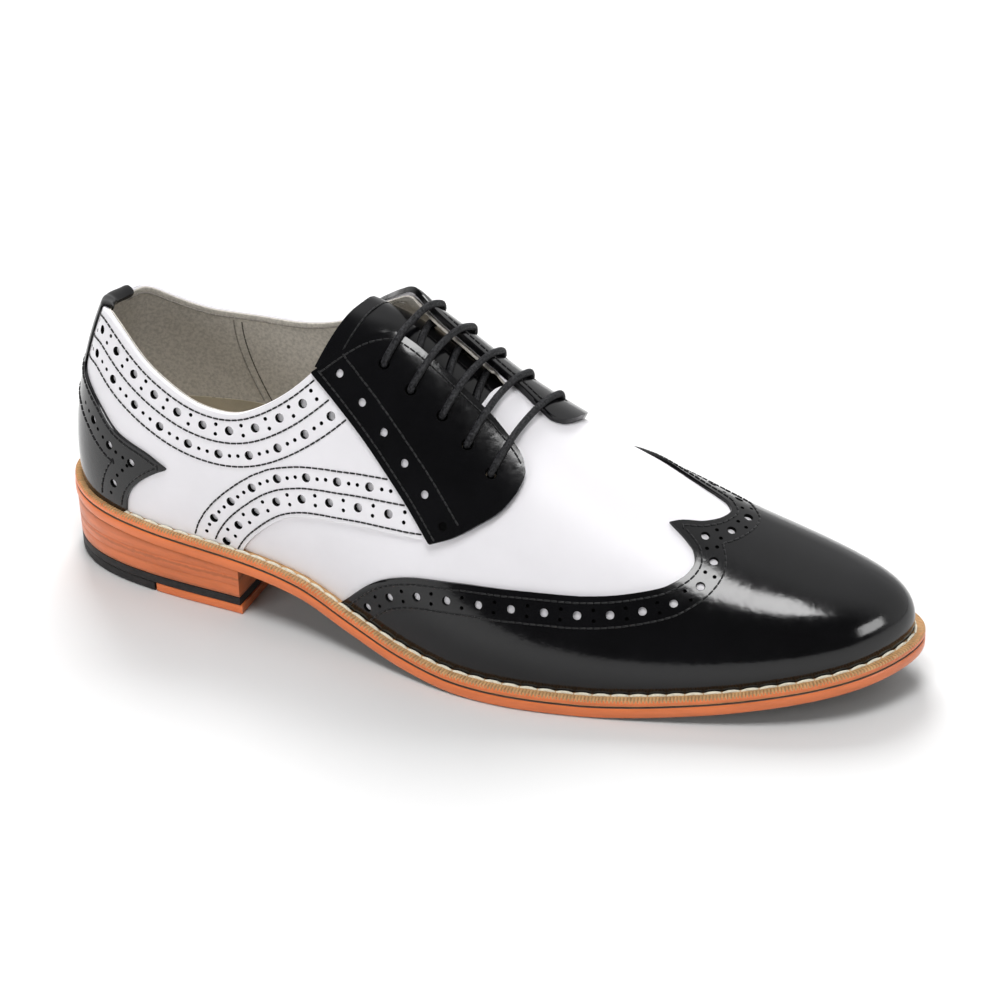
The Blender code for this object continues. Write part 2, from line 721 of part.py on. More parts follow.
def make_back_strap():
    station = np.linspace(-BACK_STRAP_STATION, BACK_STRAP_STATION, 7)
    lower = counter_top(np.abs(station)) + 0.005
    upper = opening_edge(station) + 0.06
    cutter = outline_cutter("back_strap_outline", station, lower, upper, FACING_LEVEL)
    overlay("back_strap", cutter, FACING_LEVEL, "black_leather")


def make_toe_wing():
    peak = WING_MEDIAL["girth"][0]
    reach = WING_MEDIAL["girth"][-1]
    girth = np.unique(np.append(np.linspace(-reach, reach, 37), [peak, -peak]))
    edge = np.where(girth <= peak, wing_lateral(girth), wing_medial(girth))
    fill = np.linspace(0, 1, 12)[:, None]
    station = edge[None] + fill * (1 - edge)[None]
    girth = np.broadcast_to(girth, station.shape)
    inner = skin_over_crest(station, girth, QUARTER_LEVEL[0] - CUTTER_REACH)
    outer = skin_over_crest(station, girth, QUARTER_LEVEL[1] + CUTTER_REACH)
    name = "toe_wing_outline"
    mesh = slab_mesh(name, inner, outer, "first_row first_column last_column")
    overlay("toe_wing", add_object(name, mesh, None), QUARTER_LEVEL, "black_leather")


def make_tongue():
    rows, columns = 12, 11
    across = np.linspace(0, 1, columns)[None]
    along = np.linspace(0, 1, rows)[:, None] ** 1.5
    girth = tongue_edge["lateral"](along) * (1 - across) + tongue_edge["medial"](along) * across
    top = TONGUE_TOP_STATION + TONGUE_TOP_SKEW * girth
    station = top + along * (TONGUE_END_STATION - top)
    flare = np.clip(1 - along / TONGUE_FLARE_LENGTH, 0, 1) * np.clip(2 * across - 1, 0, 1)
    depth = TONGUE_FLARE * flare - UPPER_WALL - TONGUE_CLEARANCE - tongue_sink(along)
    outer = skin_over_crest(station, girth, depth)
    inner = skin_over_crest(station, girth, depth - TONGUE_THICKNESS)
    add_object("tongue", slab_mesh("tongue", inner, outer), "black_leather")


# Eyelets and lace


def eyelet_cutter(side):
    """The five punched holes of one side, as rods through the wall."""
    name = f"eyelets_{side}"
    mesh = bpy.data.meshes.new(name)
    shape = bmesh.new()
    for station, share in zip(EYELETS[side]["station"], EYELETS[side]["share"]):
        inside = Vector(skin(SIDES[side] * station, share, -UPPER_WALL - 4 * CUTTER_REACH)) * MM
        outside = Vector(skin(SIDES[side] * station, share, FACING_LEVEL[1] + 4 * CUTTER_REACH)) * MM
        axis = outside - inside
        turned = axis.to_track_quat("Z", "Y").to_matrix().to_4x4()
        bmesh.ops.create_cone(
            shape,
            cap_ends=True,
            segments=8,
            radius1=EYELET_RADIUS * MM,
            radius2=EYELET_RADIUS * MM,
            depth=axis.length,
            matrix=Matrix.Translation((inside + outside) / 2) @ turned,
        )
    shape.to_mesh(mesh)
    shape.free()
    return add_object(name, mesh, None)


def lace_route(number):
    """One bar: up out of the lateral eyelet, over the gap along the last, and down into the medial one."""
    over = FACING_LEVEL[1] + LACE_CLEARANCE + LACE_RADIUS
    starts, ends = (
        np.array([EYELETS[side]["station"][number], sign * (1 - EYELETS[side]["share"][number])])
        for side, sign in (("lateral", -1), ("medial", 1))
    )
    length = np.linalg.norm(np.diff(skin_over_crest(*np.linspace(starts, ends, 30).T), axis=0), axis=1).sum()
    turn = np.linspace(0, np.pi / 2, 4)
    bend = LACE_BEND * (1 - np.cos(turn)) / length
    lift = over - LACE_BEND + LACE_BEND * np.sin(turn)
    flat = np.linspace(bend[-1], 1 - bend[-1], 9)[1:-1]
    share = np.concatenate([[0.0], bend, flat, 1 - bend[::-1], [1.0]])
    below = [-UPPER_WALL + GAP]
    lifts = np.concatenate([below, lift, np.full(len(flat), over), lift[::-1], below])
    station, girth = (starts[:, None] + (ends - starts)[:, None] * share[None])
    return skin_over_crest(station, girth, lifts)


def make_lace_bars():
    for number in range(len(EYELETS["lateral"]["station"])):
        name = f"lace_bar_{number + 1}"
        curve = bpy.data.curves.new(name, "CURVE")
        curve.dimensions = "3D"
        curve.bevel_depth = LACE_RADIUS * MM
        curve.bevel_resolution = 1
        curve.use_fill_caps = True
        route = lace_route(number) * MM
        spline = curve.splines.new("POLY")
        spline.points.add(len(route) - 1)
        for point, place in zip(spline.points, route):
            point.co = (*place, 1.0)
        curve.materials.append(material("lace_cord"))
        obj = bpy.data.objects.new(name, curve)
        obj.parent = origin
        parts.objects.link(obj)


def make_upper():
    upper = add_object("upper", shell_mesh("upper", -UPPER_WALL, 0.0), "white_leather")
    make_toe_wing()
    make_heel_counter()
    make_back_strap()
    for side in SIDES:
        holes = eyelet_cutter(side)
        quarter = make_quarter(side)
        facing = make_facing(side)
        for layer in (upper, quarter, facing):
            cut(layer, holes, "DIFFERENCE")


def centre_over_floor():
    """Moves the whole shoe so that its box stands centred on the origin."""
    bpy.context.view_layer.update()
    graph = bpy.context.evaluated_depsgraph_get()
    corners = []
    for obj in parts.objects:
        mesh = obj.evaluated_get(graph).to_mesh()
        corners += [vertex.co.copy() for vertex in mesh.vertices]
    low = Vector(min(c[axis] for c in corners) for axis in range(3))
    high = Vector(max(c[axis] for c in corners) for axis in range(3))
    middle = (low + high) / 2
    origin.location = (-middle.x, -middle.y, -low.z)


clear_scene()
parts = new_collection("wingtip_shoe")
cutters = new_collection("cutters")
origin = bpy.data.objects.new("shoe", None)
parts.objects.link(origin)
make_outsole()
make_welt()
make_heel()
make_insole()
make_upper()
make_tongue()
make_lace_bars()
parts.objects.unlink(origin)
centre_over_floor()
bpy.context.scene.collection.objects.link(origin)
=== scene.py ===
"""Dresses the wingtip derby shoe: lasted leather panels, punching, stitching, lace, sole and stage.

Every panel is laid on the same last as the part's solids. A point of the last is named by its station, the
share of the way from the back seam (0) to the toe (1), positive on the lateral side and negative on the
medial side, and by its share of the girth from the feather line (0) up to the crest of the foot (1).
Tables are in millimetres in the last's own axes, and SHOE_ORIGIN is where the part's origin lies in them.
"""

import math

import bpy
import numpy as np
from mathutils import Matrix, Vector


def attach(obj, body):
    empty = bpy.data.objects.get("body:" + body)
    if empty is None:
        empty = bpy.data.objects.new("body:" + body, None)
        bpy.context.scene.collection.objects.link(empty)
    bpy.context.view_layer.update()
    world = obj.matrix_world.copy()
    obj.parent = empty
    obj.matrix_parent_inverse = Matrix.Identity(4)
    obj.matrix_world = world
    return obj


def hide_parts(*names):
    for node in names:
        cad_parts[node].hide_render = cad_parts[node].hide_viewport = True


bl_info = {
    "name": "Wingtip Shoe",
    "version": (1, 0, 0),
    "blender": (4, 5, 0),
    "location": "View3D > Sidebar > Shoe",
    "description": "Makes the leather, punching, stitching, lace and sole of a wingtip derby shoe",
    "category": "Object",
}

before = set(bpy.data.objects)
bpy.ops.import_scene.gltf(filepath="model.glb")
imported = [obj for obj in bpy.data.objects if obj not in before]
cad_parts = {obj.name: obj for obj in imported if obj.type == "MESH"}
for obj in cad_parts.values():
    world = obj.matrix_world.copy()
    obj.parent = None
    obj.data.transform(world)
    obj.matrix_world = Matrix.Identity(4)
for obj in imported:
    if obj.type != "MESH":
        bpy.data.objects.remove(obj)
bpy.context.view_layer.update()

MM = 0.001
SHOE_ORIGIN = np.array((152.25, -3.409, 0.0))


def table(columns, *rows):
    """A short table as named columns."""
    return dict(zip(columns.split(), np.array(rows, dtype=float).T))


# Driving sizes of the shoe, as in the part's source
GAP = 0.3
SOLE_THICKNESS = 4.2
WELT_THICKNESS = 2.6
WELT_SEAT = 2.3
UPPER_WALL = 1.6
LEATHER = 0.9
INSOLE_ABOVE_WELT = 2.0
HEEL_BREAST_X = 78.0
HEEL_TIP_X = 44.0
HEEL_TIP_HEIGHT = 3.3
HEEL_RUBBER_HEIGHT = 6.4
HEEL_TAPER = 1.2
HEEL_TOP_INSET = 0.5
TONGUE_THICKNESS = 2.0
TONGUE_CLEARANCE = 0.8
LACE_CLEARANCE = 0.25
BACK_STRAP_STATION = 0.03
STRAP_LEAN = 1.35
REBATE = 0.45
VAMP_BACK = -0.8
LINING_FACE = -0.83
QUARTER_TOP = GAP + LEATHER
FACING_TOP = 2 * (GAP + LEATHER)

# The last, a row for each section from the back seam to the toe tip
LAST = table(
    "station lateral_x lateral_y medial_x medial_y crest_x crest_y crest_z"
    " lateral_bulge medial_bulge rise lateral_crown medial_crown",
    (0, 7.0, 0.0, 7.0, 0.0, 56.5, 0.0, 124.0, 5.6, 5.6, 0.38, 0.64, 0.64),
    (0.034, 10.0, -9.4, 10.0, 9.4, 57.5, 0.0, 123.6, 5.6, 5.6, 0.38, 0.64, 0.64),
    (0.081, 19.4, -19.4, 19.4, 19.0, 59, 0.0, 122.5, 4.8, 4.8, 0.38, 0.715, 0.715),
    (0.148, 40.0, -27.0, 40.0, 26.0, 64, 0.0, 119.5, 5.0, 5.2, 0.36, 0.80, 0.80),
    (0.233, 68.0, -30.4, 67.0, 27.6, 79, 0.0, 115.5, 4.5, 6.0, 0.36, 0.84, 0.86),
    (0.326, 98.0, -34.0, 97.0, 25.4, 101, 0.0, 111.5, 4.0, 9.5, 0.38, 0.78, 0.86),
    (0.418, 128.0, -41.5, 126.0, 25.6, 128, 0.0, 107.5, 3.5, 13.0, 0.40, 0.58, 0.82),
    (0.511, 158.0, -49.6, 154.5, 32.0, 157, 1.0, 88.5, 3.5, 11.0, 0.40, 0.52, 0.74),
    (0.604, 186.5, -51.0, 185.0, 41.5, 187, 3.5, 72.0, 4.0, 6.5, 0.40, 0.50, 0.52),
    (0.693, 216.0, -45.6, 212.5, 44.5, 217, 7.0, 58.7, 4.0, 4.4, 0.42, 0.52, 0.40),
    (0.77, 240.0, -39.2, 237.5, 40.9, 240, 8.5, 49.9, 3.5, 3.5, 0.48, 0.56, 0.38),
    (0.837, 260.5, -32.6, 258.5, 34.0, 257, 8.5, 45.0, 3.0, 3.0, 0.54, 0.60, 0.42),
    (0.896, 277.5, -24.2, 276.5, 26.5, 270, 8.0, 41.5, 2.6, 2.6, 0.58, 0.64, 0.46),
    (0.946, 290.0, -13.0, 289.5, 18.5, 279, 6.5, 39.2, 2.4, 2.4, 0.60, 0.66, 0.52),
    (1, 297.5, 5.0, 297.5, 5.0, 282, 5.5, 38.4, 2.4, 2.4, 0.60, 0.62, 0.62),
)
SOLE_PROFILE = table(
    "x bottom",
    (0, 22.0), (40, 19.4), (78, 17.0), (100, 14.2), (121, 7.9), (142, 2.7), (163, 0.2),
    (175, 0.0), (205, 0.0), (218, 0.6), (242, 3.0), (266, 6.8), (288, 10.6), (303, 13.4),
)
WELT_MARGIN = table(
    "station outset", (0, 5.2), (0.033, 5.0), (0.075, 4.7), (0.2, 4.4), (0.45, 5.0), (0.6, 5.3), (1, 5.2),
)

# Pattern lines, as shares of the girth at each station. A share over 1 has passed the crest.
OPENING = table(
    "station lateral medial",
    (0.0, 0.529, 0.529), (0.06, 0.541, 0.519), (0.10, 0.546, 0.507), (0.145, 0.513, 0.512),
    (0.178, 0.486, 0.527), (0.213, 0.460, 0.545), (0.25, 0.468, 0.565), (0.283, 0.530, 0.603),
    (0.312, 0.603, 0.655), (0.336, 0.690, 0.720), (0.353, 0.760, 0.780), (0.372, 0.820, 0.860),
    (0.386, 0.857, 0.940), (0.401, 0.890, 1.020), (0.416, 0.908, 1.037), (0.44, 0.894, 1.025),
    (0.465, 0.882, 1.033), (0.49, 0.868, 1.037), (0.508, 0.900, 1.042), (0.518, 0.950, 1.050),
)
CLOSED_LINE = table("station lateral", (0.522, 0.989), (0.60, 0.985), (0.70, 0.995), (0.78, 1.0), (1.0, 1.0))
FACING_REAR = {
    "lateral": table(
        "station share",
        (0.335, 0.684), (0.367, 0.622), (0.396, 0.566), (0.428, 0.501), (0.458, 0.439), (0.486, 0.369),
    ),
    "medial": table(
        "station share",
        (0.345, 0.705), (0.38, 0.645), (0.415, 0.585), (0.45, 0.525), (0.48, 0.470), (0.512, 0.410),
    ),
}
FACING_FOOT = {
    "lateral": table(
        "station share",
        (0.486, 0.369), (0.511, 0.426), (0.533, 0.491), (0.553, 0.562), (0.564, 0.639), (0.567, 0.690),
    ),
    "medial": table(
        "station share",
        (0.512, 0.410), (0.535, 0.480), (0.556, 0.570), (0.574, 0.680), (0.586, 0.800), (0.592, 0.900),
    ),
}
QUARTER_ARCH = {
    "lateral": table(
        "station share",
        (0.258, -0.06), (0.264, 0.0), (0.286, 0.095), (0.322, 0.194), (0.381, 0.268), (0.44, 0.330),
        (0.481, 0.376), (0.511, 0.436), (0.533, 0.501), (0.553, 0.575), (0.561, 0.66),
    ),
    "medial": table(
        "station share",
        (0.258, -0.06), (0.264, 0.0), (0.286, 0.095), (0.322, 0.194), (0.381, 0.268), (0.44, 0.335),
        (0.50, 0.405), (0.535, 0.492), (0.556, 0.585), (0.574, 0.695), (0.585, 0.820),
    ),
}
FACING_EDGE = {
    "lateral": table(
        "station share",
        (0.335, 0.686), (0.352, 0.741), (0.370, 0.798), (0.387, 0.844), (0.401, 0.870), (0.414, 0.886),
        (0.425, 0.885), (0.456, 0.873), (0.496, 0.852), (0.519, 0.836), (0.535, 0.813), (0.549, 0.788),
        (0.560, 0.758), (0.567, 0.715),
    ),
    "medial": table(
        "station share",
        (0.336, 0.720), (0.353, 0.780), (0.372, 0.845), (0.388, 0.905), (0.402, 0.950), (0.415, 0.975),
        (0.434, 0.984), (0.463, 0.990), (0.490, 0.993), (0.526, 1.002), (0.555, 1.030), (0.570, 1.046),
        (0.581, 1.032), (0.589, 0.985), (0.592, 0.930),
    ),
}
THROAT_FOOT = table(
    "station lateral medial", (0.505, 0.836, 0.985), (0.509, 0.872, 0.990), (0.511, 0.912, 0.996),
    (0.515, 0.950, 1.003), (0.519, 0.976, 1.008), (0.522, 0.989, 1.011),
)
COUNTER_TOP = table(
    "station share", (0, 0.365), (0.054, 0.331), (0.093, 0.296), (0.123, 0.256), (0.157, 0.242),
    (0.181, 0.217),
)
COUNTER_FRONT = table(
    "station share", (0.125, -0.06), (0.130, 0.040), (0.142, 0.107), (0.171, 0.192), (0.181, 0.212),
)
WING_LATERAL = table(
    "girth station",
    (-1.05, 0.37), (-0.989, 0.386), (-0.848, 0.426), (-0.776, 0.460), (-0.702, 0.524), (-0.662, 0.591),
    (-0.631, 0.648), (-0.584, 0.692), (-0.524, 0.724), (-0.439, 0.741), (-0.402, 0.743),
    (-0.343, 0.738), (-0.298, 0.726), (-0.245, 0.705),
)
WING_MEDIAL = table(
    "girth station",
    (-0.245, 0.705), (-0.217, 0.714), (-0.178, 0.735), (-0.105, 0.751), (-0.05, 0.755), (0.0, 0.747),
    (0.025, 0.733), (0.045, 0.716), (0.07, 0.700), (0.10, 0.686), (0.14, 0.672), (0.20, 0.655),
    (0.30, 0.631), (0.42, 0.604), (0.50, 0.586), (0.60, 0.547), (0.70, 0.487), (0.80, 0.437),
    (0.90, 0.402), (1.05, 0.37),
)
EYELETS = {
    "lateral": table(
        "station share", (0.409, 0.785), (0.440, 0.756), (0.475, 0.742), (0.505, 0.708), (0.535, 0.664),
    ),
    "medial": table(
        "station share", (0.434, 0.900), (0.468, 0.890), (0.500, 0.890), (0.531, 0.887), (0.565, 0.895),
    ),
}
SIDES = {"lateral": 1, "medial": -1}
SOCK_EDGE = table(
    "station share", (0, 0.150), (0.05, 0.150), (0.10, 0.162), (0.15, 0.185), (0.22, 0.205), (0.28, 0.190),
    (0.33, 0.110), (0.37, 0.030),
)
TONGUE = table(
    "along lateral medial sink", (0, -0.30, 0.06, 0.4), (0.15, -0.30, 0.08, 1.2), (0.4, -0.30, 0.12, 1.8),
    (1, -0.26, 0.12, 1.8),
)
TONGUE_TOP_STATION = 0.36
TONGUE_TOP_SKEW = 0.097
TONGUE_END_STATION = 0.60
TONGUE_FLARE = 0.6
TONGUE_FLARE_LENGTH = 0.14

# A lace bar's lift against the height at which it clears the facings, by the share of its length
BAR_LIFTS = ((0.03, -0.7), (0.1, -0.05), (0.3, -0.1), (0.5, -1.7), (0.7, -0.4), (0.9, 0.0), (0.97, -0.7))

# Brogue bands, as distances from the edge that they follow
# and runs of holes as distance, first hole, gap, what the gap loses at each hole, and number of holes
COLLAR_BAND = {
    "even": 0.02,
    "stitches": (2.6, 10.4, 18.4),
    "across": ((6.2, 16.9, 9.96, 0.0, 10),),
    "along": ((14.7, 17.1, 11.57, 0.0, 10),),
}
ARCH_BAND = {
    "stitches": (1.7, 10.2, 17.6),
    "across": ((6.4, 42.0, 11.5, 0.17, 8),),
    "along": ((14.0, 43.5, 12.1, 0.15, 8),),
}
WING_BAND = {
    "stitches": (2.2, 10.2),
    "across": ((6.2, 10.6, 11.45, 0.06, 16), (6.2, 179.4, 10.7, 0.0, 13)),
}
COUNTER_BAND = {"stitches": (1.6, 11.2), "along": ((6.6, 26.0, 10.2, 0.0, 3), (6.6, 61.2, 12.0, 0.0, 1))}
FACING_BAND = {
    "stitches": (2.4, 11.8),
    "plain": ((7.2, 14.5, 12.1, 0.0, 5),),
    "blind": ((7.2, 2.6, 12.1, 0.0, 1),),
}
PIN_SHIFT = {"across": (1.7, 0.0), "along": (0.0, 1.6)}


# Curves through table points


def closed_spline(knots, values, period):
    """A curve with even curvature through points round a closed loop."""
    count = len(knots)
    span = np.diff(np.append(knots, knots[0] + period))
    system = np.zeros((count, count))
    bends = np.zeros_like(values)
    for i in range(count):
        before, after = span[i - 1], span[i]
        following = (i + 1) % count
        system[i, i - 1] += before
        system[i, i] += 2 * (before + after)
        system[i, following] += after
        bends[i] = 6 * ((values[following] - values[i]) / after - (values[i] - values[i - 1]) / before)
    bends = np.linalg.solve(system, bends)

    def curve(at):
        at = (np.asarray(at, dtype=float) - knots[0]) % period + knots[0]
        i = np.clip(np.searchsorted(knots, at, "right") - 1, 0, count - 1)
        j = (i + 1) % count
        width = span[i][:, None]
        past = (at - knots[i])[:, None]
        left = width - past
        cubic = (bends[i] * left**3 + bends[j] * past**3) / (6 * width)
        line = (values[i] / width - bends[i] * width / 6) * left
        return cubic + line + (values[j] / width - bends[j] * width / 6) * past

    return curve


def smooth_line(x, y):
    """A smooth curve through table points that never swings past them."""
    width = np.diff(x)
    rise = np.diff(y) / width
    before, after = rise[:-1], rise[1:]
    same_way = before * after > 0
    slope = np.zeros(len(x))
    slope[0], slope[-1] = rise[0], rise[-1]
    slope[1:-1] = np.where(same_way, 2 * before * after / np.where(same_way, before + after, 1.0), 0.0)

    def curve(at):
        at = np.clip(at, x[0], x[-1])
        i = np.clip(np.searchsorted(x, at, "right") - 1, 0, len(width) - 1)
        t = (at - x[i]) / width[i]
        ends = (2 * t**3 - 3 * t**2 + 1) * y[i] + (3 * t**2 - 2 * t**3) * y[i + 1]
        return ends + width[i] * ((t**3 - 2 * t**2 + t) * slope[i] + (t**3 - t**2) * slope[i + 1])

    return curve


def line_of(columns, x="station", y="share"):
    return smooth_line(columns[x], columns[y])


def softened(line, reach):
    """A line averaged over a short stretch to both sides of each place."""
    steps = np.linspace(-reach, reach, 11)
    weights = 1 + np.cos(np.pi * steps / reach)
    weights = weights / weights.sum()

    def curve(at):
        at = np.asarray(at, dtype=float)
        return sum(weight * line(np.abs(at + step)) for step, weight in zip(steps, weights))

    return curve


sole_bottom = line_of(SOLE_PROFILE, "x", "bottom")
welt_margin = line_of(WELT_MARGIN, "station", "outset")
opening = {side: softened(line_of(OPENING, "station", side), 0.03) for side in SIDES}
closed_line = line_of(CLOSED_LINE, "station", "lateral")
facing_edge = {side: line_of(FACING_EDGE[side]) for side in SIDES}
throat_foot = {side: line_of(THROAT_FOOT, "station", side) for side in SIDES}
facing_rear = {side: line_of(FACING_REAR[side]) for side in SIDES}
facing_foot = {side: line_of(FACING_FOOT[side]) for side in SIDES}
quarter_arch = {side: line_of(QUARTER_ARCH[side]) for side in SIDES}
counter_top = line_of(COUNTER_TOP)
counter_front = line_of(COUNTER_FRONT)
wing_lateral = line_of(WING_LATERAL, "girth", "station")
wing_medial = line_of(WING_MEDIAL, "girth", "station")
sock_edge = line_of(SOCK_EDGE)
tongue_edge = {side: line_of(TONGUE, "along", side) for side in SIDES}
tongue_sink = line_of(TONGUE, "along", "sink")

FACING_START = 0.336
THROAT_STATION = THROAT_FOOT["station"][-1]
WING_PEAK = WING_MEDIAL["girth"][0]


# The last


def last_loop():
    """All columns of the last as one curve round the shoe, medial stations negative."""
    sides = {
        "x": ("lateral_x", "medial_x"),
        "y": ("lateral_y", "medial_y"),
        "crest_x": ("crest_x", "crest_x"),
        "crest_y": ("crest_y", "crest_y"),
        "crest_z": ("crest_z", "crest_z"),
        "bulge": ("lateral_bulge", "medial_bulge"),
        "rise": ("rise", "rise"),
        "crown": ("lateral_crown", "medial_crown"),
    }
    stations = LAST["station"]
    knots = np.append(-stations[:0:-1], stations[:-1])
    columns = [np.append(LAST[medial][:0:-1], LAST[lateral][:-1]) for lateral, medial in sides.values()]
    return closed_spline(knots, np.stack(columns, axis=-1), 2.0)


loop_at = last_loop()
SLOPE_STEP = 0.002
NORMAL_STEP = 0.002
SECTION_STEPS = 40
CHUNK = 12000
TOE_CREST = np.array([LAST[f"crest_{axis}"][-1] for axis in "xyz"])
TOE_CREST_NORMAL = np.array((0.25, -0.02, 0.97))
TOE_CREST_REACH = 6.0


def welt_top(x):
    return sole_bottom(x) + SOLE_THICKNESS + WELT_THICKNESS


def sections(station):
    """Each station's feather point, level direction to the crest, and arch as Bezier points across and up."""
    row = loop_at(station)
    feather = np.column_stack([row[:, 0], row[:, 1], welt_top(row[:, 0])])
    crest = row[:, 2:5]
    bulge, rise, crown = row[:, 5], row[:, 6], row[:, 7]
    along = np.abs(station)
    step = np.where(along < 0.5, SLOPE_STEP, -SLOPE_STEP)
    ahead = loop_at(along + step)[:, 2:5] - crest
    crest_slope = np.clip(ahead[:, 2] / ahead[:, 0], -0.9, 0.4)
    inward = crest[:, :2] - feather[:, :2]
    reach = np.linalg.norm(inward, axis=1)
    inward = inward / reach[:, None]
    height = crest[:, 2] - feather[:, 2]
    arch = np.zeros((len(row), 4, 2))
    arch[:, 1] = np.column_stack([-bulge, rise * height])
    flat = crown * reach
    arch[:, 2] = np.column_stack([reach - flat, height - flat * inward[:, 0] * crest_slope])
    arch[:, 3] = np.column_stack([reach, height])
    return feather, inward, arch


def arch_point(arch, t):
    t = t[..., None]
    s = 1 - t
    return (
        s**3 * arch[..., 0, :]
        + 3 * s**2 * t * arch[..., 1, :]
        + 3 * s * t**2 * arch[..., 2, :]
        + t**3 * arch[..., 3, :]
    )


def bare_skin(station, share):
    """Points on the last. A share over 1 passes the crest to the other side, one under 0 runs on below."""
    station = (np.where(share > 1, -station, station) + 1) % 2 - 1
    share = np.where(share > 1, 2 - share, share)
    feather, inward, arch = sections(station)
    steps = np.linspace(0, 1, SECTION_STEPS + 1)
    traced = arch_point(arch[:, None], np.broadcast_to(steps, (len(station), len(steps))))
    pieces = np.linalg.norm(np.diff(traced, axis=1), axis=2)
    length = np.concatenate([np.zeros((len(station), 1)), np.cumsum(pieces, axis=1)], axis=1)
    girth = length[:, -1]
    target = np.clip(share, 0, 1) * girth
    i = np.clip((length <= target[:, None]).sum(axis=1) - 1, 0, SECTION_STEPS - 1)
    each = np.arange(len(station))
    t = (i + (target - length[each, i]) / pieces[each, i]) / SECTION_STEPS
    start = arch[:, 1] / np.linalg.norm(arch[:, 1], axis=1)[:, None]
    across = arch_point(arch, t) + start * (np.minimum(share, 0) * girth)[:, None]
    return np.column_stack([feather[:, :2] + inward * across[:, :1], feather[:, 2] + across[:, 1]])


def skin_and_normal(station, share):
    """Points of the last and its outward normals, for flat arrays. All sections meet at the toe's crest."""
    at_toe_tip = (np.abs(station) > 1 - NORMAL_STEP) & (share > 1 - 4 * NORMAL_STEP)
    aim = np.where(at_toe_tip, 1 - 4 * NORMAL_STEP, share)
    along = bare_skin(station + NORMAL_STEP, aim) - bare_skin(station - NORMAL_STEP, aim)
    up = bare_skin(station, aim + NORMAL_STEP) - bare_skin(station, aim - NORMAL_STEP)
    normal = np.cross(along, up)
    normal = normal / np.linalg.norm(normal, axis=1)[:, None]
    place = bare_skin(station, share)
    near = np.clip(1 - np.linalg.norm(place - TOE_CREST, axis=1) / TOE_CREST_REACH, 0, 1)[:, None]
    near = near**2 * (3 - 2 * near)
    normal = normal * (1 - near) + TOE_CREST_NORMAL * near
    return place, normal / np.linalg.norm(normal, axis=1)[:, None]


def skin(station, share, lift=0.0):
    """Points of the last lifted along its outward normal, in the shape of the arguments."""
    station, share, lift = np.broadcast_arrays(*(np.asarray(a, dtype=float) for a in (station, share, lift)))
    shape = station.shape
    station, share, lift = station.ravel(), share.ravel(), lift.ravel()
    points = []
    for first in range(0, len(station), CHUNK):
        part = slice(first, first + CHUNK)
        place, normal = skin_and_normal(station[part], share[part])
        points.append(place + normal * lift[part, None])
    return np.concatenate(points).reshape(shape + (3,))


def skin_over_crest(station, girth, lift=0.0):
    """As skin, with girth measured from the crest: lateral negative, medial positive."""
    return skin(np.where(girth <= 0, station, -station), 1 - np.abs(girth), lift)


def outline(station, outset):
    """Plan points of the feather line moved outwards."""
    station = np.asarray(station, dtype=float)
    ahead = loop_at(station + NORMAL_STEP)[:, :2] - loop_at(station - NORMAL_STEP)[:, :2]
    normal = np.column_stack([ahead[:, 1], -ahead[:, 0]]) / np.linalg.norm(ahead, axis=1)[:, None]
    return loop_at(station)[:, :2] + normal * np.reshape(outset, (-1, 1))


def sole_outline(station, outset=0.0):
    return outline(station, welt_margin(np.abs(station)) + outset)


def by_side(lines, station):
    """A pair of lines, one for each side, read at signed stations."""
    along = np.abs(station)
    return np.where(station >= 0, lines["lateral"](along), lines["medial"](along))


def top_edge(station):
    """The share of the girth at which the collar ends, and then the facings."""
    return np.where(np.abs(station) < FACING_START, by_side(opening, station), by_side(facing_edge, station))


def wall_edge(station, behind_facing):
    """Where a layer of the wall ends: collar, behind the facings' edges, throat, where the sides join."""
    along = np.abs(station)
    blend = np.clip((along - FACING_START) / 0.02, 0, 1)
    edge = top_edge(station) - blend * by_side(behind_facing, station)
    edge = np.where(along > THROAT_FOOT["station"][0], by_side(throat_foot, station), edge)
    joined = np.where(station >= 0, closed_line(along), 2 - closed_line(along))
    return np.where(along < THROAT_STATION, edge, joined)


def under_quarter(station, share):
    """1 where a quarter lies in the vamp's rebate, 0 at the quarter's edges and beyond them."""
    lateral_tip, medial_tip = (QUARTER_ARCH[side]["station"][-1] for side in SIDES)
    tip = np.where(station >= 0, lateral_tip, medial_tip)
    inside = np.minimum(share - by_side(quarter_arch, station), top_edge(station) - share)
    return np.clip((inside - 0.012) / 0.02, 0, 1) * np.clip((tip - np.abs(station)) / 0.02, 0, 1)


def corner_flare(station, share):
    """How far the medial facing's top corner curls up off the last."""
    along = np.exp(-(((station + 0.407) / 0.022) ** 2))
    return 2.8 * along * np.clip((share - 0.86) / 0.10, 0, 1) ** 1.5


# Lines drawn on the last


def unit(vectors):
    return vectors / np.maximum(np.linalg.norm(vectors, axis=-1, keepdims=True), 1e-9)


def drawn(station, share):
    """A line on the last as rows of station and share."""
    return np.column_stack(np.broadcast_arrays(station, share)).astype(float)


def skin_axes(line):
    """Points of a line, with its run, its right hand and the outward normal."""
    place, normal = skin_and_normal(*line.T)
    along = unit(np.gradient(place, axis=0))
    across = unit(np.cross(along, normal))
    return place, along, across, normal


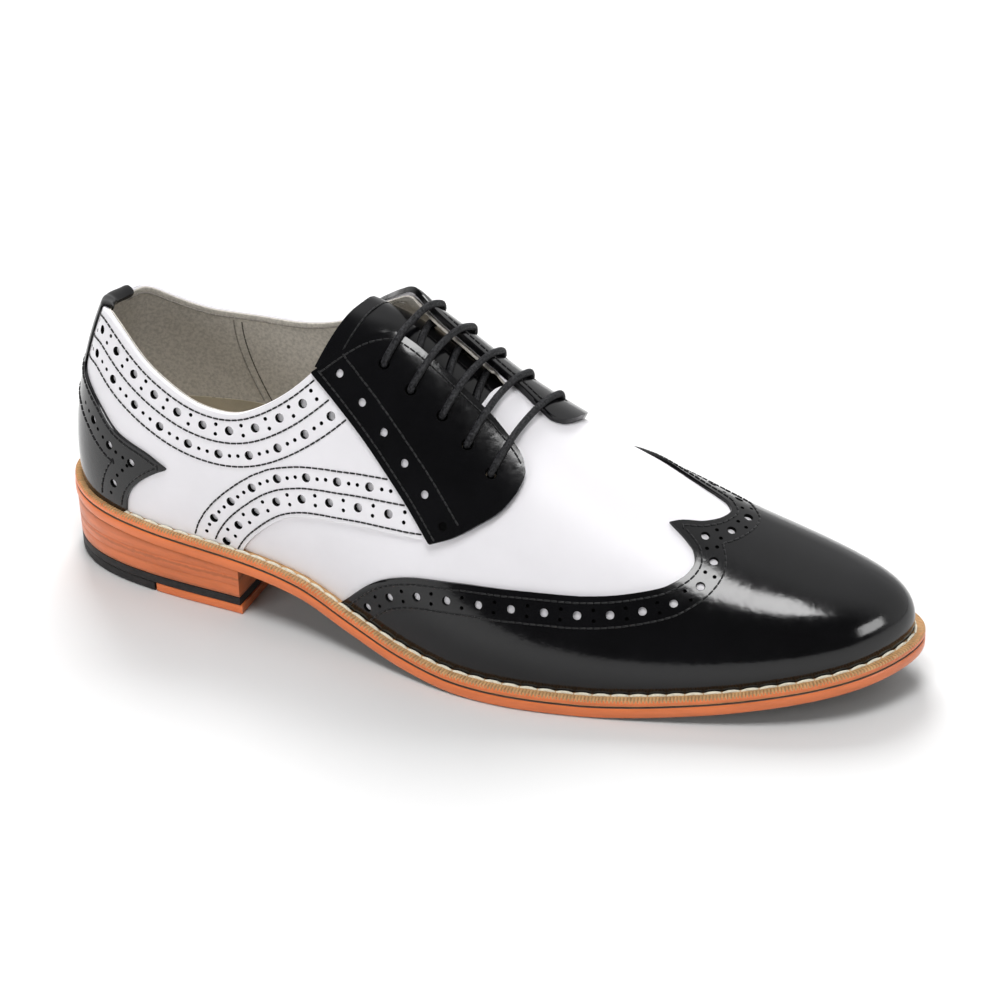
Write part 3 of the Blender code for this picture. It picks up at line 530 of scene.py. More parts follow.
def beside(line, distance, even=0.0):
    """A line moved over the skin to its right hand, with what crosses back near corners left out.

    A line that runs one way in station may be evened out over a stretch of it.
    """
    place, along, across, _ = skin_axes(line)
    step = 1e-3
    station, share = line.T
    per_station = (bare_skin(station + step, share) - place) / step
    per_share = (bare_skin(station, share + step) - place) / step
    a, b = (per_station * across).sum(1), (per_share * across).sum(1)
    c, d = (per_station * along).sum(1), (per_share * along).sum(1)
    spread = distance / (a * d - b * c)
    moved = line + np.column_stack([d, -c]) * spread[:, None]
    apart = np.linalg.norm(bare_skin(*moved.T)[:, None] - place[None], axis=2).min(axis=1)
    moved = moved[apart > 0.94 * abs(distance)]
    return evened(moved, even) if even else moved


def evened(line, reach):
    """A line with its share fitted straight over a short stretch of station at each point."""
    order = np.argsort(line[:, 0])
    station, share = line[order].T
    apart = station[None] - station[:, None]
    weight = np.exp(-((apart / reach) ** 2))
    weight /= weight.sum(axis=1, keepdims=True)
    middle, level = (weight * apart).sum(axis=1), weight @ share
    around = apart - middle[:, None]
    slope = (weight * around * (share[None] - level[:, None])).sum(axis=1) / (weight * around**2).sum(axis=1)
    fitted = np.column_stack([station, level - slope * middle])
    return fitted if line[-1, 0] > line[0, 0] else fitted[::-1]


def measured(line, at):
    """Points at distances along a line, and how long it is."""
    place = bare_skin(*line.T)
    length = np.append(0, np.cumsum(np.linalg.norm(np.diff(place, axis=0), axis=1)))
    return np.column_stack([np.interp(at, length, column) for column in line.T]), length[-1]


def spaced(line, spacing):
    """Points along a line at an even distance, near the spacing asked for."""
    length = measured(line, [0])[1]
    count = max(int(round(length / spacing)), 1)
    return measured(line, (np.arange(count) + 0.5) * length / count)[0]


def edge_lines(side):
    """The pattern edges of one side that bands follow, each run so that its band lies to the right."""
    sign = SIDES[side]
    collar = np.linspace(-0.06, 0.44, 290)
    arch = np.linspace(0.258, 0.561, 260)
    rear = np.linspace(FACING_REAR[side]["station"][0], FACING_REAR[side]["station"][-1], 160)
    back = np.linspace(0.0, 0.181, 120)
    front = np.linspace(0.125, 0.181, 120)
    lines = {
        "collar": drawn(sign * collar, by_side(opening, sign * collar)),
        "arch": drawn(sign * arch, quarter_arch[side](arch))[::-1],
        "rear": drawn(sign * rear, facing_rear[side](rear))[::-1],
        "counter": np.concatenate([
            drawn(sign * back, counter_top(back)),
            drawn(sign * front, counter_front(front))[::-1],
        ]),
    }
    return lines if side == "lateral" else {name: line[::-1] for name, line in lines.items()}


def wing_edge():
    """The wing's edge from the lateral feather over the peak and the crest to the medial feather."""
    girth = np.concatenate([np.linspace(-1.0, WING_PEAK, 320), np.linspace(WING_PEAK, 1.0, 420)[1:]])
    return drawn(np.where(girth <= WING_PEAK, wing_lateral(girth), wing_medial(girth)), 1 + girth)


def above_feather(line, margin=0.02):
    return line[(line[:, 1] > margin) & (line[:, 1] < 2 - margin)]


def clear_of(line, side, margin):
    """Keeps what of a line lies above the feather and outside the facing and the back strap."""
    station, share = SIDES[side] * line[:, 0], line[:, 1]
    facing = FACING_REAR[side]["station"]
    under = (station > facing[0]) & (share > facing_rear[side](station) - margin)
    return line[(share > margin / 2) & ~under & (station > BACK_STRAP_STATION + margin / 3)]


# Properties that a user would change


def length_of(name, description, millimetres):
    return bpy.props.FloatProperty(
        name=name, description=description, default=millimetres * MM, min=0.0, subtype="DISTANCE",
        unit="LENGTH", precision=5,
    )


def colour_of(name, description, colour):
    return bpy.props.FloatVectorProperty(
        name=name, description=description, default=colour, min=0.0, max=1.0, size=3, subtype="COLOR",
    )


class ShoeSizes(bpy.types.PropertyGroup):
    """Sizes of the details that the dressing adds"""

    hole: length_of("Brogue hole", "Radius of a large punched hole", 1.42)
    # A large hole's rim takes the holes' dark finish: the cut edge's dye, with painted shade.
    hole_rim: length_of("Hole rim", "Width of the dyed rim round a large hole", 0.15)
    pinhole: length_of("Pinhole", "Radius of a small punched hole", 0.63)
    eyelet: length_of("Eyelet", "Radius of a punched lace hole", 1.75)
    thread: length_of("Thread", "Radius of the upper's sewing thread", 0.31)
    stitch: length_of("Stitch", "Length of one stitch of the upper", 2.3)
    welt_thread: length_of("Welt thread", "Radius of the welt's heavy thread", 0.52)
    welt_stitch: length_of("Welt stitch", "Length of one stitch of the welt", 6.0)
    rib: length_of("Welt rib", "Distance between the ribs wheeled into the welt", 1.15)
    rib_depth: length_of("Rib depth", "Depth of the grooves between the ribs", 0.45)
    lace: length_of("Lace", "Radius of the round lace", 1.15)
    braid: length_of("Braid", "Length of one turn of the lace's braid", 4.2)


class ShoeColours(bpy.types.PropertyGroup):
    """Colours of the shoe's materials"""

    white: colour_of("White leather", "Vamp and quarters", (0.86, 0.845, 0.875))
    black: colour_of("Black leather", "Wing, counter, facings and tongue", (0.0025, 0.0025, 0.003))
    # Edge dye is partly painted shade: it darkens the walls, rims and floors of punched holes, where shade
    # falls inside them.
    dye_and_shade: colour_of("Edge dye", "Cut walls of punched holes", (0.002, 0.002, 0.002))
    lining: colour_of("Lining", "Suede inside the upper", (0.60, 0.565, 0.51))
    sock: colour_of("Sock", "Footbed cover", (0.48, 0.425, 0.325))
    sole: colour_of("Sole edge", "Burnished edge of the sole", (0.84, 0.215, 0.066))
    welt: colour_of("Welt", "Ribbed welt", (0.72, 0.42, 0.19))
    tread: colour_of("Tread", "Underside of the sole", (0.13, 0.105, 0.09))
    stack: colour_of("Heel stack", "Stacked leather of the heel", (0.74, 0.195, 0.066))
    rubber: colour_of("Rubber", "Top piece of the heel", (0.022, 0.021, 0.021))
    dark_thread: colour_of("Dark thread", "Sewing thread of the upper", (0.005, 0.005, 0.006))
    cream_thread: colour_of("Cream thread", "Thread of the welt", (0.93, 0.88, 0.72))
    grey_thread: colour_of("Grey thread", "Thread of the lining", (0.30, 0.28, 0.25))
    # Painted shade for the open joint in the lining.
    seam_shade: colour_of("Seam shade", "Open joint in the lining", (0.10, 0.09, 0.08))
    lace: colour_of("Lace", "Waxed lace", (0.004, 0.004, 0.005))
    floor: colour_of("Floor", "Studio floor", (0.74, 0.74, 0.74))


def size(name):
    """A detail's size in millimetres."""
    return getattr(bpy.context.scene.shoe_sizes, name) / MM


def colour(name):
    return (*getattr(bpy.context.scene.shoe_colours, name), 1.0)


# Shader nodes


def node(tree, kind, place=(0, 0), **inputs):
    made = tree.nodes.new(kind)
    made.location = place
    for name, value in inputs.items():
        made.inputs[name.replace("_", " ")].default_value = value
    return made


def new_group(name, inputs, outputs):
    """An empty node group with named sockets, its input and its output."""
    tree = bpy.data.node_groups.new(name, "ShaderNodeTree")
    for label, kind, default in inputs:
        socket = tree.interface.new_socket(label, in_out="INPUT", socket_type=kind)
        if default is not None:
            socket.default_value = default
    for label, kind in outputs:
        tree.interface.new_socket(label, in_out="OUTPUT", socket_type=kind)
    return tree, node(tree, "NodeGroupInput", (-900, 0)), node(tree, "NodeGroupOutput", (700, 0))


def grain_group():
    """Leather grain: fine cells broken by noise, as a height and a mask of the pores."""
    tree, given, out = new_group(
        "leather_grain",
        (
            ("Vector", "NodeSocketVector", None),
            ("Scale", "NodeSocketFloat", 900.0),
            ("Pores", "NodeSocketFloat", 0.5),
        ),
        (("Height", "NodeSocketFloat"), ("Mask", "NodeSocketFloat")),
    )
    link = tree.links.new
    cells = node(tree, "ShaderNodeTexVoronoi", (-500, 200))
    cells.feature = "SMOOTH_F1"
    noise = node(tree, "ShaderNodeTexNoise", (-500, -150), Detail=4.0, Roughness=0.6)
    link(given.outputs["Vector"], cells.inputs["Vector"])
    link(given.outputs["Vector"], noise.inputs["Vector"])
    link(given.outputs["Scale"], cells.inputs["Scale"])
    halved = node(tree, "ShaderNodeMath", (-700, -250))
    halved.operation = "MULTIPLY"
    halved.inputs[1].default_value = 0.6
    link(given.outputs["Scale"], halved.inputs[0])
    link(halved.outputs[0], noise.inputs["Scale"])
    mixed = node(tree, "ShaderNodeMix", (-150, 100))
    link(given.outputs["Pores"], mixed.inputs["Factor"])
    link(noise.outputs["Fac"], mixed.inputs["A"])
    link(cells.outputs["Distance"], mixed.inputs["B"])
    link(mixed.outputs["Result"], out.inputs["Height"])
    ramp = node(tree, "ShaderNodeMapRange", (150, -150))
    ramp.inputs["From Min"].default_value = 0.3
    ramp.inputs["From Max"].default_value = 0.7
    link(noise.outputs["Fac"], ramp.inputs["Value"])
    link(ramp.outputs["Result"], out.inputs["Mask"])
    return tree


def mottle_group():
    """Broad uneven tone: a noise that lays one colour over another."""
    tree, given, out = new_group(
        "mottle",
        (
            ("Vector", "NodeSocketVector", None), ("Scale", "NodeSocketFloat", 40.0),
            ("Amount", "NodeSocketFloat", 0.5),
            ("Colour", "NodeSocketColor", (0.5, 0.5, 0.5, 1)),
            ("Tone", "NodeSocketColor", (0.4, 0.4, 0.4, 1)),
        ),
        (("Colour", "NodeSocketColor"), ("Mask", "NodeSocketFloat")),
    )
    link = tree.links.new
    noise = node(tree, "ShaderNodeTexNoise", (-500, 0), Detail=5.0, Roughness=0.62)
    link(given.outputs["Vector"], noise.inputs["Vector"])
    link(given.outputs["Scale"], noise.inputs["Scale"])
    ramp = node(tree, "ShaderNodeMapRange", (-250, 0))
    ramp.interpolation_type = "SMOOTHSTEP"
    ramp.inputs["From Min"].default_value = 0.35
    ramp.inputs["From Max"].default_value = 0.7
    link(noise.outputs["Fac"], ramp.inputs["Value"])
    share = node(tree, "ShaderNodeMath", (0, -50))
    share.operation = "MULTIPLY"
    link(ramp.outputs["Result"], share.inputs[0])
    link(given.outputs["Amount"], share.inputs[1])
    mixed = node(tree, "ShaderNodeMix", (250, 0))
    mixed.data_type = "RGBA"
    link(share.outputs[0], mixed.inputs["Factor"])
    link(given.outputs["Colour"], mixed.inputs[6])
    link(given.outputs["Tone"], mixed.inputs[7])
    link(mixed.outputs[2], out.inputs["Colour"])
    link(ramp.outputs["Result"], out.inputs["Mask"])
    return tree


def group_of(name):
    makers = {"leather_grain": grain_group, "mottle": mottle_group}
    return bpy.data.node_groups.get(name) or makers[name]()


def finish(
    name, base, tone, roughness, tone_scale=60.0, tone_amount=0.5, stretch=(1, 1, 1), grain=900.0, pores=0.5,
    bump=0.1, bump_depth=0.00006, rough_spread=0.06, coat=0.0, coat_roughness=0.1, sheen=0.0, specular=0.5,
    pattern=None,
):
    """A material of mottled colour, grain bump and uneven gloss. A pattern may add height and colour."""
    label = f"dressed_{name}"
    made = bpy.data.materials.get(label)
    if made:
        return made
    made = bpy.data.materials.new(label)
    made.use_nodes = True
    made.diffuse_color = base
    tree = made.node_tree
    link = tree.links.new
    shader = tree.nodes["Principled BSDF"]
    shader.inputs["Roughness"].default_value = roughness
    shader.inputs["Specular IOR Level"].default_value = specular
    shader.inputs["Coat Weight"].default_value = coat
    shader.inputs["Coat Roughness"].default_value = coat_roughness
    shader.inputs["Sheen Weight"].default_value = sheen
    where = node(tree, "ShaderNodeTexCoord", (-1300, 0))
    mapped = node(tree, "ShaderNodeMapping", (-1100, 0), Scale=stretch)
    link(where.outputs["Object"], mapped.inputs["Vector"])
    mottle = node(tree, "ShaderNodeGroup", (-700, 250))
    mottle.node_tree = group_of("mottle")
    mottle.inputs["Scale"].default_value = tone_scale
    mottle.inputs["Amount"].default_value = tone_amount
    mottle.inputs["Colour"].default_value = base
    mottle.inputs["Tone"].default_value = tone
    link(mapped.outputs["Vector"], mottle.inputs["Vector"])
    grains = node(tree, "ShaderNodeGroup", (-700, -150))
    grains.node_tree = group_of("leather_grain")
    grains.inputs["Scale"].default_value = grain
    grains.inputs["Pores"].default_value = pores
    link(where.outputs["Object"], grains.inputs["Vector"])
    spread = node(tree, "ShaderNodeMapRange", (-350, 0))
    spread.inputs["To Min"].default_value = roughness - rough_spread
    spread.inputs["To Max"].default_value = roughness + rough_spread
    link(grains.outputs["Mask"], spread.inputs["Value"])
    link(spread.outputs["Result"], shader.inputs["Roughness"])
    bumped = node(tree, "ShaderNodeBump", (-250, -250), Strength=bump, Distance=bump_depth)
    shade, height = mottle.outputs["Colour"], grains.outputs["Height"]
    if pattern:
        shade, height = pattern(tree, where, shade, height)
    link(height, bumped.inputs["Height"])
    link(bumped.outputs["Normal"], shader.inputs["Normal"])
    link(shade, shader.inputs["Base Color"])
    return made


def darker(shade, share):
    return (*(value * share for value in shade[:3]), 1.0)


def layered(tree, where, shade, height):
    """Thin level lines through stacked leather."""
    link = tree.links.new
    lines = node(tree, "ShaderNodeTexWave", (-700, 600), Scale=46.0, Distortion=0.6, Detail=2.0)
    lines.wave_type = "BANDS"
    lines.bands_direction = "Z"
    lines.inputs["Detail Scale"].default_value = 12.0
    link(where.outputs["Object"], lines.inputs["Vector"])
    ramp = node(tree, "ShaderNodeMapRange", (-450, 600))
    ramp.inputs["From Min"].default_value = 0.0
    ramp.inputs["From Max"].default_value = 0.12
    ramp.inputs["To Min"].default_value = 0.72
    link(lines.outputs["Fac"], ramp.inputs["Value"])
    mixed = node(tree, "ShaderNodeMix", (-150, 450))
    mixed.data_type = "RGBA"
    mixed.blend_type = "MULTIPLY"
    mixed.inputs["Factor"].default_value = 1.0
    link(shade, mixed.inputs[6])
    link(ramp.outputs["Result"], mixed.inputs[7])
    return mixed.outputs[2], height


def perforated(tree, where, shade, height):
    """Rows of tiny holes through the sock."""
    link = tree.links.new
    dots = node(tree, "ShaderNodeTexVoronoi", (-700, 600), Scale=280.0, Randomness=0.0)
    dots.voronoi_dimensions = "2D"
    link(where.outputs["Object"], dots.inputs["Vector"])
    ramp = node(tree, "ShaderNodeMapRange", (-450, 600))
    ramp.inputs["From Min"].default_value = 0.14
    ramp.inputs["From Max"].default_value = 0.22
    ramp.inputs["To Min"].default_value = 0.35
    link(dots.outputs["Distance"], ramp.inputs["Value"])
    mixed = node(tree, "ShaderNodeMix", (-150, 450))
    mixed.data_type = "RGBA"
    mixed.blend_type = "MULTIPLY"
    upward = node(tree, "ShaderNodeSeparateXYZ", (-700, 300))
    link(where.outputs["Normal"], upward.inputs[0])
    flat = node(tree, "ShaderNodeMath", (-450, 300))
    flat.operation = "GREATER_THAN"
    flat.inputs[1].default_value = 0.8
    link(upward.outputs["Z"], flat.inputs[0])
    link(flat.outputs[0], mixed.inputs["Factor"])
    link(shade, mixed.inputs[6])
    link(ramp.outputs["Result"], mixed.inputs[7])
    return mixed.outputs[2], height


def shaded_grooves(tree, where, shade, height):
    """Painted shade in the grooves that a wheel pressed between the welt's ribs."""
    link = tree.links.new
    groove = node(tree, "ShaderNodeAttribute", (-700, 600))
    groove.attribute_name = GROOVE
    ramp = node(tree, "ShaderNodeMapRange", (-450, 600))
    ramp.inputs["To Min"].default_value = 1.0
    ramp.inputs["To Max"].default_value = 0.5
    link(groove.outputs["Fac"], ramp.inputs["Value"])
    mixed = node(tree, "ShaderNodeMix", (-150, 450))
    mixed.data_type = "RGBA"
    mixed.blend_type = "MULTIPLY"
    mixed.inputs["Factor"].default_value = 1.0
    link(shade, mixed.inputs[6])
    link(ramp.outputs["Result"], mixed.inputs[7])
    return mixed.outputs[2], height


GROOVE = "groove"


def material(name):
    """The shoe's finishes by name."""
    if name == "white_leather":
        base = colour("white")
        return finish(
            name, base, darker(base, 0.93), 0.40, tone_scale=25, tone_amount=0.6, grain=1500, bump=0.10,
            bump_depth=0.00005, coat=0.08, coat_roughness=0.3, specular=0.4,
        )
    if name == "black_leather":
        base = colour("black")
        return finish(
            name, base, darker(base, 2.2), 0.13, tone_scale=35, tone_amount=0.6, grain=520, pores=0.3,
            bump=1.0, bump_depth=0.00005, rough_spread=0.03, specular=0.46,
        )
    # The dark finish of punched holes: the cut edge's dye, with painted shade in the hole.
    if name == "hole_dye_and_shade":
        base = colour("dye_and_shade")
        return finish(name, base, darker(base, 2.0), 0.8, grain=2500, bump=0.2, specular=0.1)
    if name == "lining_suede":
        base = colour("lining")
        return finish(
            name, base, darker(base, 0.62), 0.92,
            tone_scale=900, tone_amount=0.8, grain=2600, pores=0.2, bump=0.5,
            bump_depth=0.0001, sheen=0.25, specular=0.2,
        )
    if name == "sock_leather":
        base = colour("sock")
        return finish(
            name, base, darker(base, 0.75), 0.75, tone_scale=120, tone_amount=0.6, grain=1500, bump=0.3,
            specular=0.25, pattern=perforated,
        )
    if name == "sole_edge":
        base = colour("sole")
        return finish(
            name, base, darker(base, 0.72), 0.38, tone_scale=130, tone_amount=0.55, stretch=(0.25, 0.25, 1.6),
            grain=1800, bump=0.12, rough_spread=0.08, coat=0.15, coat_roughness=0.25,
        )
    if name == "welt_leather":
        # The welt: tan leather, with painted shade in the grooves between its ribs.
        base = colour("welt")
        return finish(
            name, base, darker(base, 0.62), 0.55, tone_scale=260, tone_amount=0.7, grain=1700, bump=0.35,
            pattern=shaded_grooves,
        )
    if name == "sole_tread":
        base = colour("tread")
        return finish(
            name, base, darker(base, 0.7), 0.6, tone_scale=90, tone_amount=0.6, grain=1200, bump=0.3
        )
    if name == "stacked_leather":
        base = colour("stack")
        return finish(
            name, base, darker(base, 0.68), 0.42, tone_scale=150, tone_amount=0.6, stretch=(0.3, 0.3, 2.2),
            grain=1500, bump=0.15, rough_spread=0.08, coat=0.1, coat_roughness=0.3, pattern=layered,
        )
    if name == "heel_rubber":
        base = colour("rubber")
        return finish(
            name, base, darker(base, 1.8), 0.62, tone_scale=300, tone_amount=0.6, grain=2200, bump=0.35,
            specular=0.35,
        )
    if name in ("dark_thread", "cream_thread", "grey_thread", "seam_shade"):
        base = colour(name)
        return finish(
            name, base, darker(base, 0.7), 0.55,
            tone_scale=900, tone_amount=0.7, stretch=(1, 1, 1), grain=6000,
            bump=0.5, bump_depth=0.0001, sheen=0.1,
        )
    # The lighter flecks over the black lace are painted highlights of the braid.
    base = colour("lace")
    return finish(
        name, base, (0.06, 0.06, 0.064, 1), 0.5,
        tone_scale=1300, tone_amount=0.7, grain=3000, pores=0.3, bump=0.8,
        bump_depth=0.00025, rough_spread=0.2, specular=0.2,
    )


# Modelling by operators


def deselect():
    if bpy.context.object and bpy.context.object.mode != "OBJECT":
        bpy.ops.object.mode_set(mode="OBJECT")
    bpy.ops.object.select_all(action="DESELECT")


def named(name):
    obj = bpy.context.object
    obj.name = obj.data.name = name
    return obj


def points_of(mesh):
    flat = np.empty(len(mesh.vertices) * 3)
    mesh.vertices.foreach_get("co", flat)
    return flat.reshape(-1, 3)


def set_points(mesh, points):
    mesh.vertices.foreach_set("co", np.ascontiguousarray(points, dtype=np.float32).ravel())
    mesh.update()


def select_faces(mesh, chosen):
    mesh.vertices.foreach_set("select", np.zeros(len(mesh.vertices), bool))
    mesh.edges.foreach_set("select", np.zeros(len(mesh.edges), bool))
    mesh.polygons.foreach_set("select", chosen)


def faces_where(mesh, wanted):
    """True for each face all of whose points are wanted."""
    return np.array([all(wanted[v] for v in face.vertices) for face in mesh.polygons])


def settle(obj, points, smooth_angle=40.0):
    """Puts a piece's points in the part's frame, joins its seams, turns it outwards and smooths it."""
    set_points(obj.data, (points - SHOE_ORIGIN) * MM)
    bpy.ops.object.mode_set(mode="EDIT")
    bpy.ops.mesh.select_all(action="SELECT")
    bpy.ops.mesh.remove_doubles(threshold=3e-6)
    bpy.ops.mesh.normals_make_consistent(inside=False)
    bpy.ops.object.mode_set(mode="OBJECT")
    bpy.ops.object.shade_smooth_by_angle(angle=math.radians(smooth_angle))


def lasted_sheet(name, columns, rows, place, finish_name, seam=None):
    """A flat sheet, thickened by an extrusion and laid on the last by place(u, v, w).

    u and v run over the sheet from 0 to 1, and w is 0 underneath and 1 on top. Walls where seam(u, v) is
    true join another edge of the same sheet, and are taken out.
    """
    deselect()
    bpy.ops.mesh.primitive_grid_add(x_subdivisions=columns, y_subdivisions=rows, size=1.0)
    obj = named(name)
    bpy.ops.object.mode_set(mode="EDIT")
    bpy.ops.mesh.select_all(action="SELECT")
    bpy.ops.mesh.extrude_region_move(TRANSFORM_OT_translate={"value": (0, 0, 1)})
    bpy.ops.object.mode_set(mode="OBJECT")
    u, v, w = (points_of(obj.data) + (0.5, 0.5, 0.0)).T
    u, v = np.round(u * columns) / columns, np.round(v * rows) / rows
    if seam:
        walls = seam(u, v)
        on_wall = faces_where(obj.data, walls)
        level = np.array([abs(face.normal.z) > 0.5 for face in obj.data.polygons])
        select_faces(obj.data, on_wall & ~level)
        bpy.ops.object.mode_set(mode="EDIT")
        bpy.ops.mesh.select_mode(type="FACE")
        bpy.ops.mesh.delete(type="ONLY_FACE")
        bpy.ops.mesh.select_all(action="SELECT")
        bpy.ops.mesh.delete_loose(use_verts=True, use_edges=True, use_faces=False)
        bpy.ops.object.mode_set(mode="OBJECT")
        u, v, w = (points_of(obj.data) + (0.5, 0.5, 0.0)).T
        u, v = np.round(u * columns) / columns, np.round(v * rows) / rows
    settle(obj, place(u, v, w))
    obj.data.materials.append(material(finish_name))
    return obj


def lasted_tube(name, columns, rows, place, finish_name, smooth_angle=40.0, depth=None):
    """A flat grid rolled up by place(u, v), with its meeting edges joined. depth(u, v) marks its grooves."""
    deselect()
    bpy.ops.mesh.primitive_grid_add(x_subdivisions=columns, y_subdivisions=rows, size=1.0)
    obj = named(name)
    u, v, _ = (points_of(obj.data) + (0.5, 0.5, 0.0)).T
    u, v = np.round(u * columns) / columns, np.round(v * rows) / rows
    if depth:
        obj.data.attributes.new(GROOVE, "FLOAT", "POINT").data.foreach_set("value", depth(u, v))
    settle(obj, place(u, v), smooth_angle)
    obj.data.materials.append(material(finish_name))
    return obj


def rimmed(v, rows, length, rim=0.4):
    """Even rows from 0 to 1, but with the first and the last as narrow as a rounded edge."""
    step = 1 / rows
    edge = np.minimum(rim / np.maximum(length, 1e-6), 0.3 * step)
    inside = edge + (v - step) / (1 - 2 * step) * (1 - 2 * edge)
    return np.where(v < step / 2, 0.0, np.where(v > 1 - step / 2, 1.0, inside))


def on_rim(u, v, columns, rows, ends=True):
    """1 on the outermost points of a sheet, 0 elsewhere."""
    rim = (v < 0.5 / rows) | (v > 1 - 0.5 / rows)
    if ends:
        rim |= (u < 0.5 / columns) | (u > 1 - 0.5 / columns)
    return rim.astype(float)


EDGE_ROUND = 0.3


def joined_copies(name, template, places, finish_name):
    """Copies of a small shape, one for each 4x4 place, as one mesh."""
    corners = points_of(template.data)
    faces = [tuple(face.vertices) for face in template.data.polygons]
    turned = np.einsum("nij,vj->nvi", places[:, :3, :3], corners) + places[:, None, :3, 3]
    points = (turned.reshape(-1, 3) - SHOE_ORIGIN) * MM
    mesh = bpy.data.meshes.new(name)
    count = len(corners)
    copies = [tuple(i + n * count for i in face) for n in range(len(places)) for face in faces]
    mesh.from_pydata(points, [], copies)
    mesh.materials.append(material(finish_name))
    obj = bpy.data.objects.new(name, mesh)
    bpy.context.scene.collection.objects.link(obj)
    return obj


def drop(obj):
    mesh = obj.data
    bpy.data.objects.remove(obj)
    bpy.data.meshes.remove(mesh)


def places_on(line, lift, turn=None):
    """4x4 places on a drawn line: x along it, z outwards."""
    place, along, across, normal = skin_axes(line) if turn is None else turn
    made = np.zeros((len(line), 4, 4))
    made[:, :3, 0], made[:, :3, 1], made[:, :3, 2] = along, -across, normal
    made[:, :3, 3] = place + normal * np.reshape(lift, (-1, 1))
    made[:, 3, 3] = 1
    return made


# Punching


def punch_tool(radius, low, high, rim):
    """A round punch with a wider shoulder, as a template standing on its own z axis."""
    deselect()
    bpy.ops.mesh.primitive_cylinder_add(vertices=16, radius=radius, depth=high - low, location=(0, 0, 0))
    obj = named("punch_tool")
    mesh = obj.data
    points = points_of(mesh)
    points[:, 2] += (low + high) / 2
    set_points(mesh, points)
    select_faces(mesh, np.array([face.normal.z > 0.9 for face in mesh.polygons]))
    bpy.ops.object.mode_set(mode="EDIT")
    bpy.ops.mesh.select_mode(type="FACE")
    bpy.ops.mesh.extrude_region_move(TRANSFORM_OT_translate={"value": (0, 0, rim)})
    bpy.ops.object.mode_set(mode="OBJECT")
    points = points_of(mesh)
    top = points[:, 2] > high + rim / 2
    points[top, :2] *= (radius + rim) / radius
    set_points(mesh, points)
    select_faces(mesh, np.array([face.normal.z > 0.9 for face in mesh.polygons]))
    bpy.ops.object.mode_set(mode="EDIT")
    bpy.ops.mesh.extrude_region_move(TRANSFORM_OT_translate={"value": (0, 0, 0.5)})
    bpy.ops.object.mode_set(mode="OBJECT")
    return obj


def apart(line, distance):
    """Leaves out points that lie on one already kept, as where two runs of holes meet."""
    place = bare_skin(*line.T)
    kept = []
    for number, point in enumerate(place):
        if all(np.linalg.norm(point - place[other]) > distance for other in kept):
            kept.append(number)
    return line[kept]


def punch(obj, holes):
    """Cuts holes through a panel. Each row of holes is points, radius, lowest lift, top lift and rim."""
    for line, radius, low, top, rim in holes:
        line = apart(line, 2.5 * (radius + rim))
        if not len(line):
            continue
        tool = punch_tool(radius, low, top - rim, rim)
        place, normal = skin_and_normal(*line.T)
        along = unit(np.cross(normal, (0.31, 0.17, 0.94)))
        turn = place, along, np.cross(along, normal), normal
        # The cutters give their dark finish, dye with painted shade, to the walls, rims and floors that they
        # cut.
        cutter = joined_copies("punches", tool, places_on(line, 0.0, turn), "hole_dye_and_shade")
        drop(tool)
        deselect()
        obj.select_set(True)
        bpy.context.view_layer.objects.active = obj
        cut = obj.modifiers.new("punched", "BOOLEAN")
        cut.operation = "DIFFERENCE"
        cut.solver = "EXACT"
        cut.material_mode = "TRANSFER"
        cut.object = cutter
        before = len(obj.data.polygons)
        bpy.ops.object.modifier_apply(modifier="punched")
        if len(obj.data.polygons) <= before:
            raise RuntimeError(f"the punches left {obj.name} whole")
        drop(cutter)
    bpy.ops.object.shade_smooth_by_angle(angle=math.radians(40))


def brogue_rows(edge, band, side, keep, top):
    """Holes of a band along an edge, as rows for punch: large holes, and pairs of pinholes between them."""
    through, shallow = top - QUARTER_TOP - 0.12 - REBATE, top - 0.85
    rows = []
    for kind in ("across", "along", "plain", "blind"):
        large, pins = [], []
        for distance, first, gap, shrink, count in band.get(kind, ()):
            line = beside(edge, distance, band.get("even", 0.0))
            line = line if side == "lateral" else line[::-1]
            line = line[np.argmax(SIDES[side] * line[:, 0] >= 0):]
            number = np.arange(count)
            large.append(measured(line, first + gap * number - shrink * number**2)[0])
            if kind in PIN_SHIFT:
                number = np.arange(count + 1) - 0.5
                between = measured(line, first + gap * number - shrink * number**2)[0]
                right, ahead = PIN_SHIFT[kind]
                pins += [beside_points(between, line, sign * right, sign * ahead) for sign in (-1, 1)]
        if large:
            depth = shallow if kind == "blind" else through
            rows.append((keep(np.concatenate(large)), size("hole"), depth, top, size("hole_rim")))
        if pins:
            rows.append((keep(np.concatenate(pins)), size("pinhole"), shallow, top, 0.05))
    return rows


def beside_points(points, line, right, ahead):
    """Points moved off a line they lie on, over the skin, by distances to its right hand and ahead."""
    place, along, across, _ = skin_axes(line)
    here = bare_skin(*points.T)
    nearest = np.linalg.norm(here[:, None] - place[None], axis=2).argmin(axis=1)
    move = across[nearest] * right + along[nearest] * ahead
    step = 1e-3
    station, share = points.T
    per_station = (bare_skin(station + step, share) - here) / step
    per_share = (bare_skin(station, share + step) - here) / step
    shift = []
    for s, t, m in zip(per_station, per_share, move):
        shift.append(np.linalg.lstsq(np.column_stack([s, t]), m, rcond=None)[0])
    return points + np.array(shift)


# Stitching


